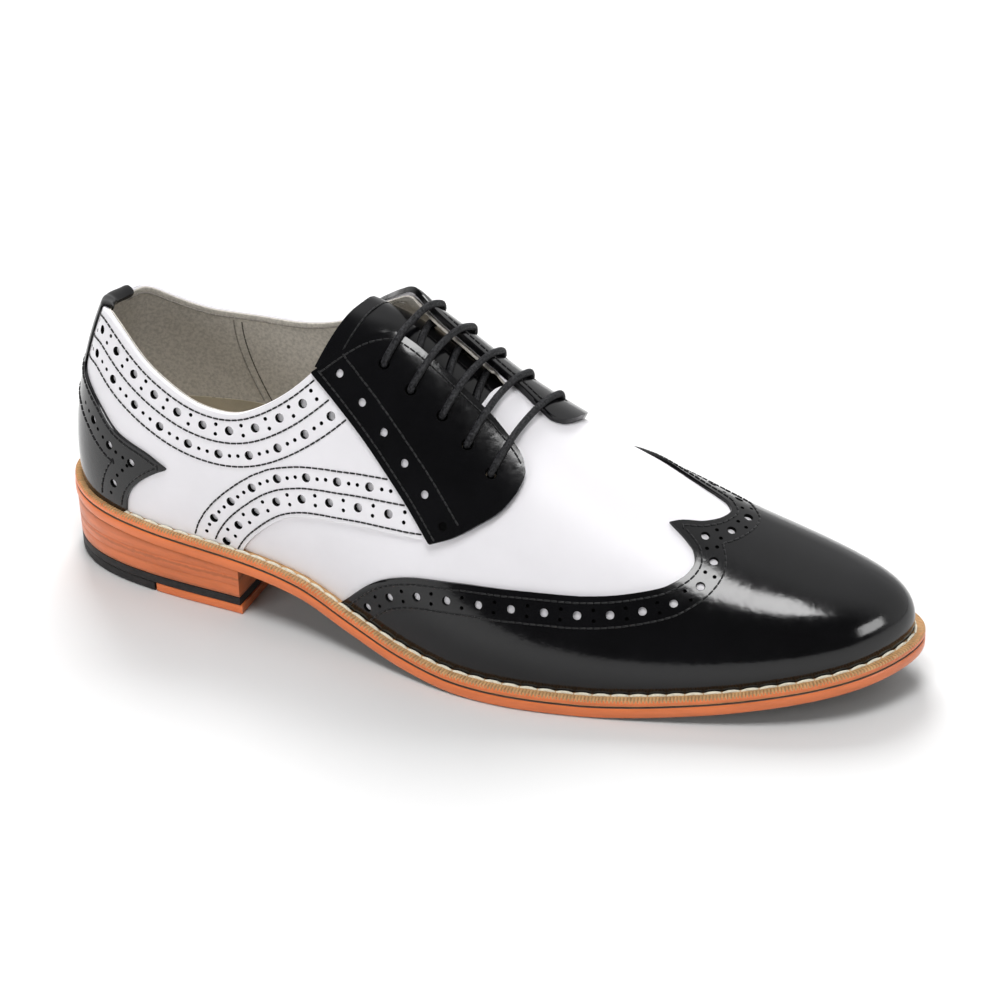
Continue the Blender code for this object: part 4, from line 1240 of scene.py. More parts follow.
def stitch_tool(length, radius):
    """One stitch: a short round rod with its ends rounded down, as a template along its own x axis."""
    deselect()
    bpy.ops.mesh.primitive_cylinder_add(vertices=8, radius=radius, depth=length, rotation=(0, math.pi / 2, 0))
    bpy.ops.object.transform_apply(location=False, rotation=True, scale=False)
    obj = named("stitch_tool")
    mesh = obj.data
    bpy.ops.object.mode_set(mode="EDIT")
    bpy.ops.mesh.select_all(action="DESELECT")
    bpy.ops.object.mode_set(mode="OBJECT")
    select_faces(mesh, np.array([abs(face.normal.x) > 0.9 for face in mesh.polygons]))
    bpy.ops.object.mode_set(mode="EDIT")
    bpy.ops.mesh.select_mode(type="FACE")
    bpy.ops.mesh.inset(thickness=radius * 0.45, depth=0.0, use_individual=True)
    bpy.ops.object.mode_set(mode="OBJECT")
    points = points_of(mesh)
    middle = np.hypot(points[:, 1], points[:, 2]) > 0.8 * radius
    points[middle, 0] *= 1 - 1.2 * radius / length
    points[~middle, 2] -= 0.35 * radius
    set_points(mesh, points)
    return obj


def sew(name, lines, thread, length, radius, gap=0.2):
    """A seam of separate stitches along drawn lines, each row with its lift. Returns the piece."""
    places = []
    for line, lift in lines:
        if len(line) < 4:
            continue
        at = spaced(line, length)
        ends = np.gradient(bare_skin(*at.T), axis=0)
        place, normal = skin_and_normal(*at.T)
        along = unit(ends - normal * (ends * normal).sum(1)[:, None])
        turn = place, along, np.cross(along, normal), normal
        places.append(places_on(at, lift + 0.25 * radius, turn))
    tool = stitch_tool(length - gap, radius)
    obj = joined_copies(name, tool, np.concatenate(places), thread)
    drop(tool)
    deselect()
    obj.select_set(True)
    bpy.context.view_layer.objects.active = obj
    bpy.ops.object.shade_smooth()
    return obj


def add_piece(obj, slot, *nodes):
    """Fastens a finished piece to the shoe, in place of the solids that it stands for."""
    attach(obj, "root")
    if nodes:
        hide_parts(*nodes)


# Panels of the upper


def girth_span(station, lower, upper):
    """The length in millimetres between two shares of the girth."""
    near = skin(station, lower)
    far = skin(station, np.minimum(upper, 1.0))
    return np.linalg.norm(far - near, axis=-1) + np.maximum(upper - 1, 0) * 90


def panel_place(station_of, bounds_of, low, high, columns, rows):
    """How a panel lies on the last: columns by station, rows between two pattern lines."""

    def place(u, v, w):
        along = np.round(u * columns).astype(int)
        stations = station_of(np.linspace(0, 1, columns + 1))
        lower, upper = bounds_of(stations)
        length = girth_span(stations, lower, upper)[along]
        fill = rimmed(v, rows, length)
        share = lower[along] + fill * (upper - lower)[along]
        rim = on_rim(u, v, columns, rows)
        under = low(stations[along], share, rim) if callable(low) else low
        lift = np.where(w > 0.5, high - EDGE_ROUND * rim, under)
        return skin(stations[along], share, lift + corner_flare(stations[along], share))

    return place


def make_quarter(side):
    sign = SIDES[side]
    columns, rows = 170, 56
    tip = QUARTER_ARCH[side]["station"][-1]

    def station_of(u):
        return sign * (0.0006 + u * (tip - 0.0006))

    def bounds_of(station):
        along = np.abs(station)
        upper = top_edge(station) - 0.01 * np.clip((along - FACING_START) / 0.02, 0, 1)
        return np.maximum(quarter_arch[side](along), 0.0), upper

    def under(station, share, rim):
        return 0.04 - REBATE * under_quarter(station, share) * (1 - rim)

    obj = lasted_sheet(
        f"{side}_quarter", columns, rows,
        panel_place(station_of, bounds_of, under, QUARTER_TOP, columns, rows),
        "white_leather",
    )
    edges = edge_lines(side)
    holes = []
    for edge, band in (("collar", COLLAR_BAND), ("arch", ARCH_BAND)):
        holes += brogue_rows(edges[edge], band, side, lambda line: clear_of(line, side, 0.02), QUARTER_TOP)
    eyelets = drawn(sign * EYELETS[side]["station"], EYELETS[side]["share"])
    holes.append((eyelets, size("eyelet"), -1.0, QUARTER_TOP, 0.05))
    punch(obj, holes)
    add_piece(obj, "white_leather", f"quarter_{side}")


def make_facing(side):
    sign = SIDES[side]
    columns, rows = 120, 60
    rear, foot = FACING_REAR[side]["station"], FACING_FOOT[side]["station"]

    def station_of(u):
        return sign * (rear[0] + (1 - (1 - u) ** 1.5) * (foot[-1] - rear[0]))

    def bounds_of(station):
        along = np.abs(station)
        lower = np.where(along <= rear[-1], facing_rear[side](along), facing_foot[side](along))
        return lower, np.maximum(top_edge(station), lower + 0.002)

    def under(station, share, rim):
        past_quarter = (np.abs(station) > rear[-1] + 0.004) | (share > 0.8)
        return np.where((rim > 0.5) & past_quarter, 0.25, QUARTER_TOP + 0.03)

    obj = lasted_sheet(
        f"{side}_facing", columns, rows,
        panel_place(station_of, bounds_of, under, FACING_TOP, columns, rows), "black_leather",
    )
    edges = edge_lines(side)

    holes = brogue_rows(edges["rear"], FACING_BAND, side, lambda line: line, FACING_TOP)
    eyelets = drawn(sign * EYELETS[side]["station"], EYELETS[side]["share"])
    punch(obj, holes + [(eyelets, size("eyelet"), 0.0, FACING_TOP, 0.3)])
    add_piece(obj, "black_leather", f"facing_{side}")


def make_wing():
    columns, rows = 200, 110
    peak = round(columns * (WING_PEAK + 1) / 2) / columns

    def place(u, v, w):
        before = -1 + (WING_PEAK + 1) * u / peak
        after = WING_PEAK + (1 - WING_PEAK) * (u - peak) / (1 - peak)
        at_edge = np.where(u <= peak, before, after)
        edge = np.where(at_edge <= WING_PEAK, wing_lateral(at_edge), wing_medial(at_edge))
        step = 1 / rows
        first = 0.4 / 150
        fill = np.where(v < step / 2, 0.0, first + (v - step) / (1 - step) * (1 - first))
        girth = at_edge * (1 - fill) + (2 * u - 1) * fill
        station = edge + fill * (1 - edge)
        rim = (v < step / 2).astype(float)
        return skin_over_crest(station, girth, np.where(w > 0.5, QUARTER_TOP - EDGE_ROUND * rim, 0.03))

    obj = lasted_sheet(
        "wing_tip", columns, rows, place, "black_leather", seam=lambda u, v: v > 1 - 0.5 / rows
    )
    punch(obj, brogue_rows(wing_edge(), WING_BAND, "lateral", above_feather, QUARTER_TOP))
    add_piece(obj, "black_leather", "toe_wing")


def make_counter():
    columns, rows = 130, 44
    reach = COUNTER_FRONT["station"][-1]

    def station_of(u):
        return (2 * u - 1) * reach

    def bounds_of(station):
        along = np.abs(station)
        lower = np.maximum(counter_front(along), 0.0)
        return lower, np.maximum(counter_top(along), lower + 0.002)

    obj = lasted_sheet(
        "counter", columns, rows,
        panel_place(station_of, bounds_of, QUARTER_TOP + 0.03, FACING_TOP, columns, rows), "black_leather",
    )
    holes = []
    for side in SIDES:
        edge = edge_lines(side)["counter"]
        holes += brogue_rows(edge, COUNTER_BAND, side, lambda line: line[line[:, 1] > 0.03], FACING_TOP)
    punch(obj, holes)
    add_piece(obj, "black_leather", "heel_counter")


def make_strap():
    """The back strap, folded over the collar's edge and a little way down inside."""
    columns, rows = 16, 70

    def path(v, station):
        """Share and lift of the strap's outer face along its length, from the counter over the collar."""
        start, end = counter_top(np.abs(station)) - 0.01, top_edge(station)
        up, over = 0.70, 0.93
        rise = np.clip(v / up, 0, 1)
        turn = np.clip((v - up) / (over - up), 0, 1) * np.pi
        down = np.clip((v - over) / (1 - over), 0, 1)
        middle, reach = (FACING_TOP - UPPER_WALL - 0.9) / 2, (FACING_TOP + UPPER_WALL + 0.9) / 2
        share = start + rise * (end + 0.004 - start) + 0.012 * np.sin(turn) - 0.008 * down
        return share, middle + reach * np.cos(turn)

    def place(u, v, w):
        station = BACK_STRAP_STATION * (u * (1 + STRAP_LEAN) - STRAP_LEAN)
        share, lift = path(v, station)
        ahead, ahead_lift = path(np.minimum(v + 1e-3, 1), station)
        behind, behind_lift = path(np.maximum(v - 1e-3, 0), station)
        outer = skin(station, share, lift)
        run = unit(skin(station, ahead, ahead_lift) - skin(station, behind, behind_lift))
        side = unit(np.cross(run, skin(station + 1e-3, share, lift) - outer))
        away = side * np.sign((side * (outer - skin(station, top_edge(station), 0.4))).sum(1))[:, None]
        _, normal = skin_and_normal(station, np.minimum(share, 0.6))
        away = np.where(v[:, None] < 0.6, normal, side * np.sign((side * away).sum(1))[:, None])
        thick = np.where(w > 0.5, -EDGE_ROUND * on_rim(u, v, columns, rows), -0.85)
        return outer + away * thick[:, None]

    obj = lasted_sheet("strap", columns, rows, place, "black_leather")
    add_piece(obj, "black_leather", "back_strap")


def wall_columns(side_columns):
    """Stations round the wall with a column on each corner of the throat."""
    corners = np.append(FACING_EDGE["lateral"]["station"][4:7], THROAT_FOOT["station"])
    even = np.linspace(0, 1, side_columns + 1 - len(corners))
    side = np.sort(np.append(even, corners))
    side[np.argmin(np.abs(side - THROAT_STATION))] = THROAT_STATION
    return np.append(-side[::-1], side[1:])


def make_wall(name, low, high, rows, finish_name, rolled, behind_facing, rebate=0.0):
    """One layer of the upper's wall, from the feather to the opening, closed over the toe."""
    behind = {side: (lambda along, depth=depth: depth) for side, depth in behind_facing.items()}
    side_columns = 200
    around = wall_columns(side_columns)
    columns = len(around) - 1

    def seam(u, v):
        station = around[np.round(u * columns).astype(int)]
        ends = (u < 0.25 / columns) | (u > 1 - 0.25 / columns)
        return ends | ((v > 1 - 0.5 / rows) & (np.abs(station) >= THROAT_STATION - 1e-6))

    def place(u, v, w):
        station = around[np.round(u * columns).astype(int)]
        edge = wall_edge(station, behind)
        open_rim = (v > 1 - 0.5 / rows) & (np.abs(station) < THROAT_STATION - 1e-6)
        share = rimmed(v, rows, np.full_like(v, 70.0)) * edge
        lift = np.where(w > 0.5, high - rebate * under_quarter(station, share), low)
        lift = lift + np.where(open_rim, rolled * np.where(w > 0.5, 1.0, -1.0), 0.0)
        lift = lift + corner_flare(station, share)
        return skin(station, share, lift)

    obj = lasted_sheet(name, columns, rows, place, finish_name, seam=seam)
    for side, sign in SIDES.items():
        eyelets = drawn(sign * EYELETS[side]["station"], EYELETS[side]["share"])
        punch(obj, [(eyelets, size("eyelet"), low - 0.6, high + 0.1, 0.05)])
    return obj


def tongue_place(across, along, depth_below):
    """Points of the tongue's outer face moved inwards by a depth."""
    girth = tongue_edge["lateral"](along) * (1 - across) + tongue_edge["medial"](along) * across
    top = TONGUE_TOP_STATION + TONGUE_TOP_SKEW * girth
    station = top + along * (TONGUE_END_STATION - top)
    flare = np.clip(1 - along / TONGUE_FLARE_LENGTH, 0, 1) ** 1.5 * np.clip(2 * across - 1, 0, 1)
    fold = 0.5 * np.exp(-(((across - 0.74 + 0.5 * along) / 0.13) ** 2)) * np.clip(1 - along / 0.3, 0, 1)
    depth = TONGUE_FLARE * flare - UPPER_WALL - TONGUE_CLEARANCE - tongue_sink(along) - fold
    return station, girth, depth - depth_below


def make_tongue():
    columns, rows = 70, 90

    def place(u, v, w):
        across = rimmed(u, columns, np.full_like(u, 45.0))
        along = rimmed(v, rows, np.full_like(v, 70.0)) ** 1.15
        rim = on_rim(u, v, columns, rows)
        below = np.where(w > 0.5, 0.45 * rim, TONGUE_THICKNESS - 0.45 * rim)
        return skin_over_crest(*tongue_place(across, along, below))

    obj = lasted_sheet("tongue_leather", columns, rows, place, "black_leather")
    add_piece(obj, "black_leather", "tongue")


# Sole, heel and footbed


def around_sole(u):
    """Stations for u from 0 to 1, round from the toe along the medial side and back along the lateral."""
    even = 2 * u - 1
    return even - 0.12 * np.sin(2 * np.pi * even) / np.pi


def ring_point(station, outset, height):
    """A point beside the sole's outline, raised from the sole's underside."""
    plan = sole_outline(station, outset)
    return np.column_stack([plan, sole_bottom(plan[:, 0]) + height])


def spine_point(station, height, outset=0.0):
    """The middle of the sole across from a station."""
    plan = (sole_outline(station, outset) + sole_outline(-station, outset)) / 2
    return np.column_stack([plan, sole_bottom(plan[:, 0]) + height])


def profile_at(v, corners):
    """Interpolates rows of a cross section evenly by row."""
    corners = np.array(corners, dtype=float)
    at = v * (len(corners) - 1)
    return np.column_stack([np.interp(at, np.arange(len(corners)), column) for column in corners.T])


def make_outsole():
    edge = (
        (0.0, -1.0, 0.0), (0.75, -1.0, 0.0), (1, -1.0, 0.0), (1, -0.3, 0.28), (1, 0.0, 0.9), (1, 0.05, 2.1),
        (1, 0.0, 3.4), (1, -0.25, 3.85), (1, -0.9, 4.15), (0.5, -1.0, 4.15), (0.0, -1.0, 4.15),
    )
    rows = len(edge) - 1

    def place(u, v):
        station = around_sole(u)
        out, outset, height = profile_at(v, edge).T
        rim, spine = ring_point(station, outset, height), spine_point(station, height, -1.0)
        return spine + (rim - spine) * out[:, None]

    obj = lasted_tube("sole_plate", 720, rows, place, "sole_edge", 50)
    obj.data.materials.append(material("sole_tread"))
    for face in obj.data.polygons:
        face.material_index = int(abs(face.normal.z) > 0.8)
    add_piece(obj, "orange_leather", "outsole")


def make_welt():
    low, high = SOLE_THICKNESS + GAP, SOLE_THICKNESS + WELT_THICKNESS
    sections_across = (
        ("seat", 0.0, low), ("edge", -0.35, low), ("edge", -0.05, low + 0.35), ("edge", -0.1, high - 0.75),
        ("edge", -0.4, high - 0.25), ("edge", -0.8, high), ("edge", -1.8, high), ("feather", 2.6, high),
        ("feather", 1.9, high - 0.1), ("feather", 1.2, high - 0.05), ("seat", 0.0, high), ("seat", 0.0, low),
    )
    ribs = np.array((0, 0, 0, 0.35, 1, 1, 1, 0.8, 0, 0, 0, 0))
    rows = len(sections_across) - 1
    length = 770.0
    columns = int(length / size("rib")) * 6
    stations = np.linspace(-1, 1, 4001)
    travelled = np.append(0, np.cumsum(np.linalg.norm(np.diff(sole_outline(stations), axis=0), axis=1)))

    def depth(u, v):
        """How far a point lies down in a groove, from 0 to 1."""
        count = round(travelled[-1] / size("rib"))
        phase = np.interp(around_sole(u), stations, travelled) / travelled[-1] * count
        return (1 - np.abs(np.sin(np.pi * phase)) ** 0.8) * ribs[np.round(v * rows).astype(int)]

    def place(u, v):
        station = around_sole(u)
        section = np.round(v * rows).astype(int)
        margin = welt_margin(np.abs(station))
        from_edge = {"edge": 0.0 * margin, "feather": -margin, "seat": -margin - WELT_SEAT}
        outset = np.zeros_like(u)
        height = np.zeros_like(u)
        for number, (start, out, up) in enumerate(sections_across):
            here = section == number
            outset = np.where(here, from_edge[start] + out, outset)
            height = np.where(here, up, height)
        groove = size("rib_depth") * depth(u, v)
        return ring_point(station, outset - 0.35 * groove, height - groove)

    obj = lasted_tube("welt_strip", columns, rows, place, "welt_leather", 60, depth)
    obj.data.materials.append(material("sole_edge"))
    for face in obj.data.polygons:
        face.material_index = int(abs(face.normal.z) < 0.55)
    add_piece(obj, "welt_leather", "welt")


def make_sock():
    """The footbed's cover, dished, with its edge turned up against the lining."""
    top = SOLE_THICKNESS + WELT_THICKNESS + INSOLE_ABOVE_WELT
    section = (
        (0.0, -3.2, top), (0.35, -3.2, top + 0.1), (0.7, -3.2, top + 0.4), (0.92, -3.2, top + 0.9),
        (1.0, -2.6, top + 1.3), (1.0, -2.4, top + 1.2), (1.0, -2.9, SOLE_THICKNESS + GAP), (0.5, -3.2, 4.6),
        (0.0, -3.2, SOLE_THICKNESS + GAP),
    )
    rows = 4 * (len(section) - 1)

    def place(u, v):
        station = around_sole(u)
        out, inset, height = profile_at(v, section).T
        margin = welt_margin(np.abs(station))
        rim, spine = ring_point(station, inset - margin, height), spine_point(station, height, -10.0)
        return spine + (rim - spine) * out[:, None]

    obj = lasted_tube("sock", 300, rows, place, "sock_leather", 50)
    add_piece(obj, "lining_leather", "insole")


def make_sock_edge():
    """The footbed's cover where it turns up the lining round the heel."""
    columns, rows = 120, 12
    reach = SOCK_EDGE["station"][-1]

    def station_of(u):
        return (2 * u - 1) * reach

    def bounds_of(station):
        return np.full_like(station, 0.02), sock_edge(np.abs(station))

    low, high = -UPPER_WALL - 0.75, -UPPER_WALL - 0.05
    obj = lasted_sheet(
        "sock_edge", columns, rows,
        panel_place(station_of, bounds_of, low, high, columns, rows), "sock_leather",
    )
    add_piece(obj, "lining_leather")


def heel_station(x, side):
    tried = np.linspace(0, 0.5, 200)
    return np.interp(x, sole_outline(side * tried)[:, 0], tried)


def heel_lift(name, back_x, front_x, levels, finish_name):
    """One lift of the heel: a filled outline extruded level by level. Each level is height and inset.

    A height may follow the sole's underside, as a negative distance from it.
    """
    count = 160
    rounded = back_x is None
    half = count // 2
    shares = np.linspace(0, 1, half)
    back = {sign: 0.0 if rounded else heel_station(back_x, sign) for sign in SIDES.values()}
    lateral = back[1] * (1 - shares) + heel_station(front_x, 1) * shares
    medial = -(back[-1] * (1 - shares) + heel_station(front_x, -1) * shares)
    around = np.append(lateral, medial[::-1])
    if rounded:
        around = np.append(np.linspace(0, lateral[-1], half + 1)[:-1], medial[::-1])
    deselect()
    bpy.ops.mesh.primitive_circle_add(vertices=count, radius=1.0, fill_type="NGON")
    obj = named(name)
    bpy.ops.object.mode_set(mode="EDIT")
    bpy.ops.mesh.select_all(action="SELECT")
    for _ in levels[1:]:
        bpy.ops.mesh.extrude_region_move(TRANSFORM_OT_translate={"value": (0, 0, 1)})
    bpy.ops.object.mode_set(mode="OBJECT")
    flat = points_of(obj.data)
    number = np.round(np.arctan2(flat[:, 1], flat[:, 0]) / (2 * np.pi) * count).astype(int) % count
    level = np.round(flat[:, 2]).astype(int)
    points = np.zeros_like(flat)
    for k, (height, inset) in enumerate(levels):
        x = sole_outline(around)[:, 0]
        z = height(x) if callable(height) else np.full(count, height)
        taper = -HEEL_TOP_INSET - HEEL_TAPER * (1 - z / SOLE_PROFILE["bottom"][0])
        plan = sole_outline(around, taper - inset)
        inner_x = front_x - inset
        plan[:, 0] = np.minimum(plan[:, 0], inner_x)
        if not rounded:
            plan[:, 0] = np.maximum(plan[:, 0], back_x + inset)
        ring = np.column_stack([plan, z])
        here = level == k
        points[here] = ring[number[here]]
    settle(obj, points, 45)
    obj.data.materials.append(material(finish_name))
    return obj


def make_heel():
    def below_sole(distance):
        return lambda x: sole_bottom(x) - distance

    first, second = HEEL_RUBBER_HEIGHT + 4.4, HEEL_RUBBER_HEIGHT + 8.4
    stack = heel_lift(
        "heel_lifts", None, HEEL_BREAST_X,
        (
            (HEEL_RUBBER_HEIGHT + 0.1, 0.25), (HEEL_RUBBER_HEIGHT + 0.35, 0.0),
            (first - 0.15, 0.0), (first, 0.1), (first + 0.15, 0.0),
            (second - 0.15, 0.0), (second, 0.1), (second + 0.15, 0.0), (below_sole(0.35), 0.0),
            (below_sole(0.1), 0.2),
        ),
        "stacked_leather",
    )
    add_piece(stack, "stacked_leather", "heel_stack")
    top = heel_lift(
        "heel_rubber_layer", None, HEEL_BREAST_X,
        ((HEEL_TIP_HEIGHT + 0.05, 0.2), (HEEL_TIP_HEIGHT + 0.25, 0.0), (HEEL_RUBBER_HEIGHT - 0.2, 0.0),
         (HEEL_RUBBER_HEIGHT, 0.15)),
        "heel_rubber",
    )
    add_piece(top, "black_rubber", "heel_rubber")
    rear = heel_lift(
        "heel_rubber_rear", None, HEEL_TIP_X,
        ((0.0, 0.5), (0.3, 0.1), (0.6, 0.0), (HEEL_TIP_HEIGHT - 0.2, 0.0), (HEEL_TIP_HEIGHT, 0.15)),
        "heel_rubber",
    )
    add_piece(rear, "black_rubber")
    tip = heel_lift(
        "tip_lift", HEEL_TIP_X + 0.15, HEEL_BREAST_X,
        ((0.0, 0.4), (0.3, 0.1), (0.6, 0.0), (HEEL_TIP_HEIGHT - 0.2, 0.0), (HEEL_TIP_HEIGHT, 0.15)),
        "sole_edge",
    )
    add_piece(tip, "orange_leather", "heel_tip")


# Lace


LACE_END_OFFSET = (0.012, 0.045)


def lace_path():
    """The lace from its hidden end under the top lateral eyelet: bar, dive, run underneath, and up again.

    From the lowest bar it goes back behind the medial eyelets, and stops under the top one.
    """
    over = FACING_TOP + LACE_CLEARANCE + size("lace")
    under = -UPPER_WALL - 0.15 - size("lace")
    spots = []
    for number in range(len(EYELETS["lateral"]["station"])):
        for side, sign in (("lateral", -1), ("medial", 1)):
            spots.append((EYELETS[side]["station"][number], sign * (1 - EYELETS[side]["share"][number])))
    spots = np.array(spots)
    knots = [(*spots[0] + (-0.002, -0.012), under - 0.1), (*spots[0], under)]
    for number in range(0, len(spots), 2):
        start, end = spots[number], spots[number + 1]
        if number:
            knots.append((*start, under))
        knots.append((*start, over - 2.2))
        for share, lift in BAR_LIFTS:
            knots.append((*(start + (end - start) * share), over + lift))
        knots.append((*end, over - 2.2))
        knots.append((*end, under))
        if number + 2 < len(spots):
            after = spots[number + 2]
            for share in (0.2, 0.5, 0.8):
                knots.append((*(end + (after - end) * share), under - 0.1))
    for station, girth in spots[::-2]:
        knots.append((station + LACE_END_OFFSET[0], girth + LACE_END_OFFSET[1], under))
    knots = np.array(knots)
    return skin_over_crest(knots[:, 0], knots[:, 1], knots[:, 2])


def smooth_path(points, spacing):
    """A smooth curve through points, sampled at an even distance."""
    before = np.concatenate([[2 * points[0] - points[1]], points, [2 * points[-1] - points[-2]]])
    pieces = []
    t = np.linspace(0, 1, 24, endpoint=False)[:, None]
    for i in range(len(points) - 1):
        a, b, c, d = before[i:i + 4]
        straight = 2 * b + (c - a) * t
        square, cube = (2 * a - 5 * b + 4 * c - d) * t**2, (3 * b - a - 3 * c + d) * t**3
        pieces.append(0.5 * (straight + square + cube))
    path = np.concatenate(pieces + [points[-1:]])
    for _ in range(6):
        path[1:-1] = 0.25 * path[:-2] + 0.5 * path[1:-1] + 0.25 * path[2:]
    length = np.append(0, np.cumsum(np.linalg.norm(np.diff(path, axis=0), axis=1)))
    at = np.linspace(0, length[-1], int(length[-1] / spacing))
    return np.column_stack([np.interp(at, length, column) for column in path.T]), length[-1]


def carried_frames(path):
    """Two directions across a path that turn as little as they can along it."""
    run = unit(np.gradient(path, axis=0))
    side = np.zeros_like(path)
    side[0] = unit(np.cross(run[0], (0.3, 0.2, 0.9)))
    for i in range(1, len(path)):
        side[i] = unit(side[i - 1] - run[i] * (side[i - 1] @ run[i]))
    return side, np.cross(run, side)


def make_lace():
    path, length = smooth_path(lace_path(), 0.35)
    side, other = carried_frames(path)
    columns, rows = len(path) - 1, 24
    turns = length / size("braid")

    def place(u, v):
        along = np.round(u * columns).astype(int)
        angle = 2 * np.pi * v
        weave = np.sin(4 * angle + 2 * np.pi * turns * u * 2) * np.sin(4 * angle - 2 * np.pi * turns * u * 2)
        radius = size("lace") * (1 + 0.13 * weave)
        radius = np.where((along == 0) | (along == columns), 0.02, radius)
        turned = side[along] * np.cos(angle)[:, None] + other[along] * np.sin(angle)[:, None]
        return path[along] + turned * radius[:, None]

    obj = lasted_tube("lace", columns, rows, place, "lace_cord", 80)
    add_piece(obj, "lace_cord", *(f"lace_bar_{number}" for number in range(1, 6)))


# Seams


LINING_SEAM = (-0.187, -0.222)
LINING_SEAM_STITCH = 0.010


def sew_upper():
    thread, stitch = size("thread"), size("stitch")
    white, black, lining = [], [], []
    for side, sign in SIDES.items():
        edges = edge_lines(side)
        for distance in COLLAR_BAND["stitches"]:
            line = beside(edges["collar"], distance, COLLAR_BAND["even"])
            white.append((clear_of(line, side, 0.008), QUARTER_TOP))
        for distance in ARCH_BAND["stitches"]:
            white.append((clear_of(beside(edges["arch"], distance), side, 0.008), QUARTER_TOP))
        for distance in COUNTER_BAND["stitches"]:
            line = beside(edges["counter"], distance)
            black.append((line[(line[:, 1] > 0.02) & (np.abs(line[:, 0]) > 0.004)], FACING_TOP))
        for distance in FACING_BAND["stitches"]:
            line = beside(edges["rear"], distance)
            station, share = np.abs(line[:, 0]), line[:, 1]
            black.append((line[(share < top_edge(line[:, 0]) - 0.01) & (station < 0.56)], FACING_TOP))
        front = np.linspace(0.345, 0.56, 140)
        black.append((drawn(sign * front, facing_edge[side](front) - 0.024), FACING_TOP))
    for distance in WING_BAND["stitches"]:
        black.append((above_feather(beside(wing_edge(), distance), 0.012), QUARTER_TOP))
    add_piece(sew("quarter_stitches", white, "dark_thread", stitch, thread), "black_leather")
    add_piece(sew("black_stitches", black, "dark_thread", stitch, thread), "black_leather")
    along = np.linspace(0.03, 0.97, 60)
    station, girth, depth = tongue_place(along, np.full_like(along, 0.075), -0.02)
    line = drawn(station, 1 + girth)
    collar = np.concatenate([np.linspace(-0.40, -0.035, 200), np.linspace(0.035, 0.40, 200)])
    for half in (collar[:200], collar[200:]):
        lining.append((drawn(half, top_edge(half) - 0.018), -UPPER_WALL - 0.05))
    rise = np.linspace(0.215, 0.50, 80)
    lean = LINING_SEAM[0] + (LINING_SEAM[1] - LINING_SEAM[0]) * np.linspace(1, 0, 80) ** 1.6
    lining.append((drawn(lean + LINING_SEAM_STITCH, rise), -UPPER_WALL - 0.05))
    # A dark rod along the lining's joint is painted shade in the open joint.
    joint = [(drawn(lean, rise), -UPPER_WALL + 0.05)]
    add_piece(sew("lining_joint_shade", joint, "seam_shade", stitch, thread, 0.0), "lining_leather")
    add_piece(sew("lining_stitches", lining, "grey_thread", stitch, thread), "lining_leather")
    add_piece(sew("tongue_stitches", [(line, depth.mean())], "dark_thread", stitch, thread), "black_leather")


def sew_welt():
    """The welt's heavy stitches, each bowed up a little, beside the upper's edge."""
    radius, length = size("welt_thread"), size("welt_stitch")
    high = SOLE_THICKNESS + WELT_THICKNESS
    station = np.linspace(-1, 1, 3001)
    line = ring_point(station, 1.9 - welt_margin(np.abs(station)), high)
    travelled = np.append(0, np.cumsum(np.linalg.norm(np.diff(line, axis=0), axis=1)))
    count = round(travelled[-1] / length)
    at = (np.arange(count) + 0.5) * travelled[-1] / count
    middle = np.column_stack([np.interp(at, travelled, column) for column in line.T])
    ahead = np.column_stack([np.interp((at + 0.5) % travelled[-1], travelled, column) for column in line.T])
    along = unit(ahead - middle)
    up = np.array((0, 0, 1.0)) - along * along[:, 2:]
    up = unit(up)
    places = np.zeros((count, 4, 4))
    places[:, :3, 0], places[:, :3, 1], places[:, :3, 2] = along, np.cross(up, along), up
    places[:, :3, 3] = middle
    places[:, 3, 3] = 1
    deselect()
    bpy.ops.mesh.primitive_cylinder_add(vertices=8, radius=radius, depth=length, rotation=(0, math.pi / 2, 0))
    bpy.ops.object.transform_apply(location=False, rotation=True, scale=False)
    tool = named("welt_stitch_tool")
    bpy.ops.object.mode_set(mode="EDIT")
    bpy.ops.mesh.select_all(action="SELECT")
    for x in (-0.4, -0.2, 0.0, 0.2, 0.4):
        bpy.ops.mesh.select_all(action="SELECT")
        bpy.ops.mesh.bisect(plane_co=(x * length, 0, 0), plane_no=(1, 0, 0))
    bpy.ops.object.mode_set(mode="OBJECT")
    points = points_of(tool.data)
    along_share = points[:, 0] / (length / 2)
    points[:, 0] *= 0.95
    slim = 1 - 0.45 * np.abs(along_share) ** 4
    points[:, 1] *= slim
    points[:, 2] = points[:, 2] * slim + 0.35 * (1 - along_share**2) - 0.15
    set_points(tool.data, points)
    obj = joined_copies("welt_stitches", tool, places, "cream_thread")
    drop(tool)
    deselect()
    obj.select_set(True)
    bpy.context.view_layer.objects.active = obj
    bpy.ops.object.shade_smooth()
    add_piece(obj, "welt_leather")


# Stage


CAMERA_PLACE = (570.28, -1057.78, 680.48)
CAMERA_AIM = (157.47, -0.15, 42.68)
CAMERA_LENS = 141.5


def soft_light(name, place, aim, width, height, power, mirrored=True, lighting=True):
    """A rectangular softbox. It may light the shoe without showing in its gloss, or show there alone."""
    lamp = bpy.data.lights.new(name, "AREA")
    lamp.shape = "RECTANGLE"
    lamp.size, lamp.size_y, lamp.energy = width, height, power
    obj = bpy.data.objects.new(name, lamp)
    obj.location = place
    obj.rotation_euler = (Vector(aim) - Vector(place)).to_track_quat("-Z", "Y").to_euler()
    obj.visible_glossy = mirrored
    obj.visible_diffuse = lighting
    bpy.context.scene.collection.objects.link(obj)


